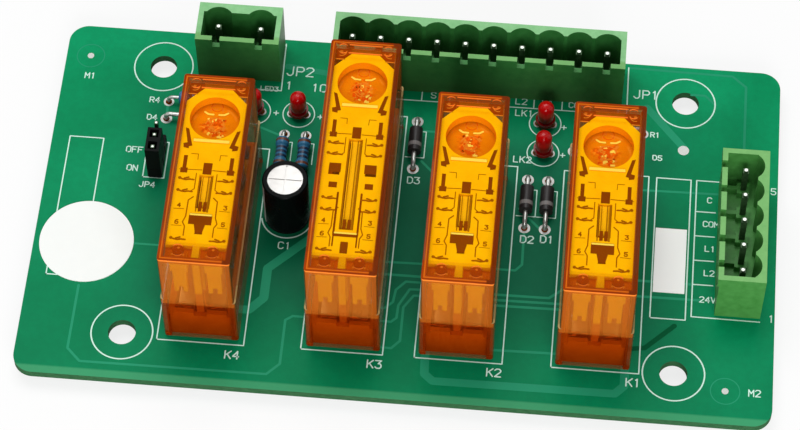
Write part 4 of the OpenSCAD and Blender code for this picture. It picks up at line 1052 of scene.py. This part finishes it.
    # red glints over the base's rim, behind the front wall
    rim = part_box(r.name + "_base")[1].z / MM
    glow = Shape(r.name + "_rim_glow", "ember", "amber_cover")
    for s in (-1, 1):
        for i in range(9):
            x, zz = r.cx + s * 2.9 + rng.uniform(-1.3, 1.3), rim + rng.uniform(0.1, 1.9)
            w, h = rng.uniform(0.25, 0.7), rng.uniform(0.1, 0.22)
            y = r.front + 0.75 + 0.004 * i
            n = len(glow.verts)
            corners = ((x - w, zz), (x + w, zz + 0.1), (x + w, zz + h + 0.1), (x - w, zz + h))
            glow.verts += [(px, y, pz) for px, pz in corners]
            glow.faces.append((n, n + 1, n + 2, n + 3))
    glow.make()

# ------------------------------------------------------------ stage
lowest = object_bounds()[0].z


def floor_material():
    """White to the camera and to mirrors, with part of its real shading kept for the shadow."""
    g = Graph("studio_floor")
    g.feed("Base Color", (0.86, 0.86, 0.86, 1))
    g.feed("Roughness", 0.9)
    path = g.new("ShaderNodeLightPath")
    seen = g.most(path.outputs["Is Camera Ray"], path.outputs["Is Glossy Ray"])
    seen = g.most(seen, path.outputs["Is Transmission Ray"])
    glow = g.new("ShaderNodeEmission")
    glow.inputs["Strength"].default_value = 1.0
    mix = g.new("ShaderNodeMixShader")
    g.link(g.times(seen, 0.80), mix.inputs[0])
    g.link(g.shader.outputs[0], mix.inputs[1])
    g.link(glow.outputs[0], mix.inputs[2])
    g.link(mix.outputs[0], g.tree.nodes["Material Output"].inputs["Surface"])
    return g.mat


floor_mesh = bpy.data.meshes.new("studio_floor")
z = lowest - 0.0001
floor_mesh.from_pydata([(-2, -2, z), (2, -2, z), (2, 2, z), (-2, 2, z)], [], [(0, 1, 2, 3)])
floor_mesh.materials.append(floor_material())
floor = bpy.data.objects.new("studio_floor", floor_mesh)
bpy.context.scene.collection.objects.link(floor)

world = bpy.data.worlds.new("studio")
bpy.context.scene.world = world
world.use_nodes = True
wt = world.node_tree
background = wt.nodes["Background"]
wp = wt.nodes.new("ShaderNodeLightPath")
seen = wt.nodes.new("ShaderNodeMath")
seen.operation = "MAXIMUM"
wt.links.new(wp.outputs["Is Camera Ray"], seen.inputs[0])
wt.links.new(wp.outputs["Is Transmission Ray"], seen.inputs[1])
level = wt.nodes.new("ShaderNodeMapRange")
level.inputs["To Min"].default_value = 0.30
level.inputs["To Max"].default_value = 1.0
seen_too = wt.nodes.new("ShaderNodeMath")
seen_too.operation = "MAXIMUM"
wt.links.new(seen.outputs[0], seen_too.inputs[0])
wt.links.new(wp.outputs["Is Glossy Ray"], seen_too.inputs[1])
wt.links.new(seen_too.outputs[0], level.inputs["Value"])
wt.links.new(level.outputs["Result"], background.inputs["Strength"])
background.inputs["Color"].default_value = (1, 1, 1, 1)


def lamp(name, place, target, size, power):
    data = bpy.data.lights.new(name, "AREA")
    data.shape = "RECTANGLE"
    data.size, data.size_y = size
    data.energy = power
    obj = bpy.data.objects.new(name, data)
    obj.location = place
    obj.rotation_mode = "QUATERNION"
    obj.rotation_quaternion = (Vector(target) - Vector(place)).to_track_quat("-Z", "Y")
    bpy.context.scene.collection.objects.link(obj)


lamp("key_lamp", (-0.10, 0.22, 0.60), (0, 0, 0.01), (0.50, 0.34), 2.7)
lamp("fill_lamp", (0.10, -0.55, 0.30), (0, 0, 0.01), (0.40, 0.30), 2.6)

# ------------------------------------------------------------ camera
# fitted to the photograph
LENS = 135.09
EYE = (0.024067, -0.281502, 0.449990)
RIGHT_AXIS = Vector((0.996148, 0.087655, -0.00253))
DOWN_AXIS = Vector((0.072815, -0.842887, -0.533142))
AHEAD_AXIS = Vector((-0.048865, 0.530903, -0.846022))
cam_data = bpy.data.cameras.new("camera")
cam = bpy.data.objects.new("camera", cam_data)
bpy.context.scene.collection.objects.link(cam)
cam_data.sensor_fit = "HORIZONTAL"
cam_data.sensor_width = 36.0
cam_data.lens = LENS
cam_data.clip_start, cam_data.clip_end = 0.01, 10.0
turn = Matrix((RIGHT_AXIS, -DOWN_AXIS, -AHEAD_AXIS)).transposed()
cam.matrix_world = Matrix.Translation(EYE) @ turn.to_4x4()
bpy.context.scene.camera = cam
bpy.context.scene.view_settings.view_transform = "Standard"
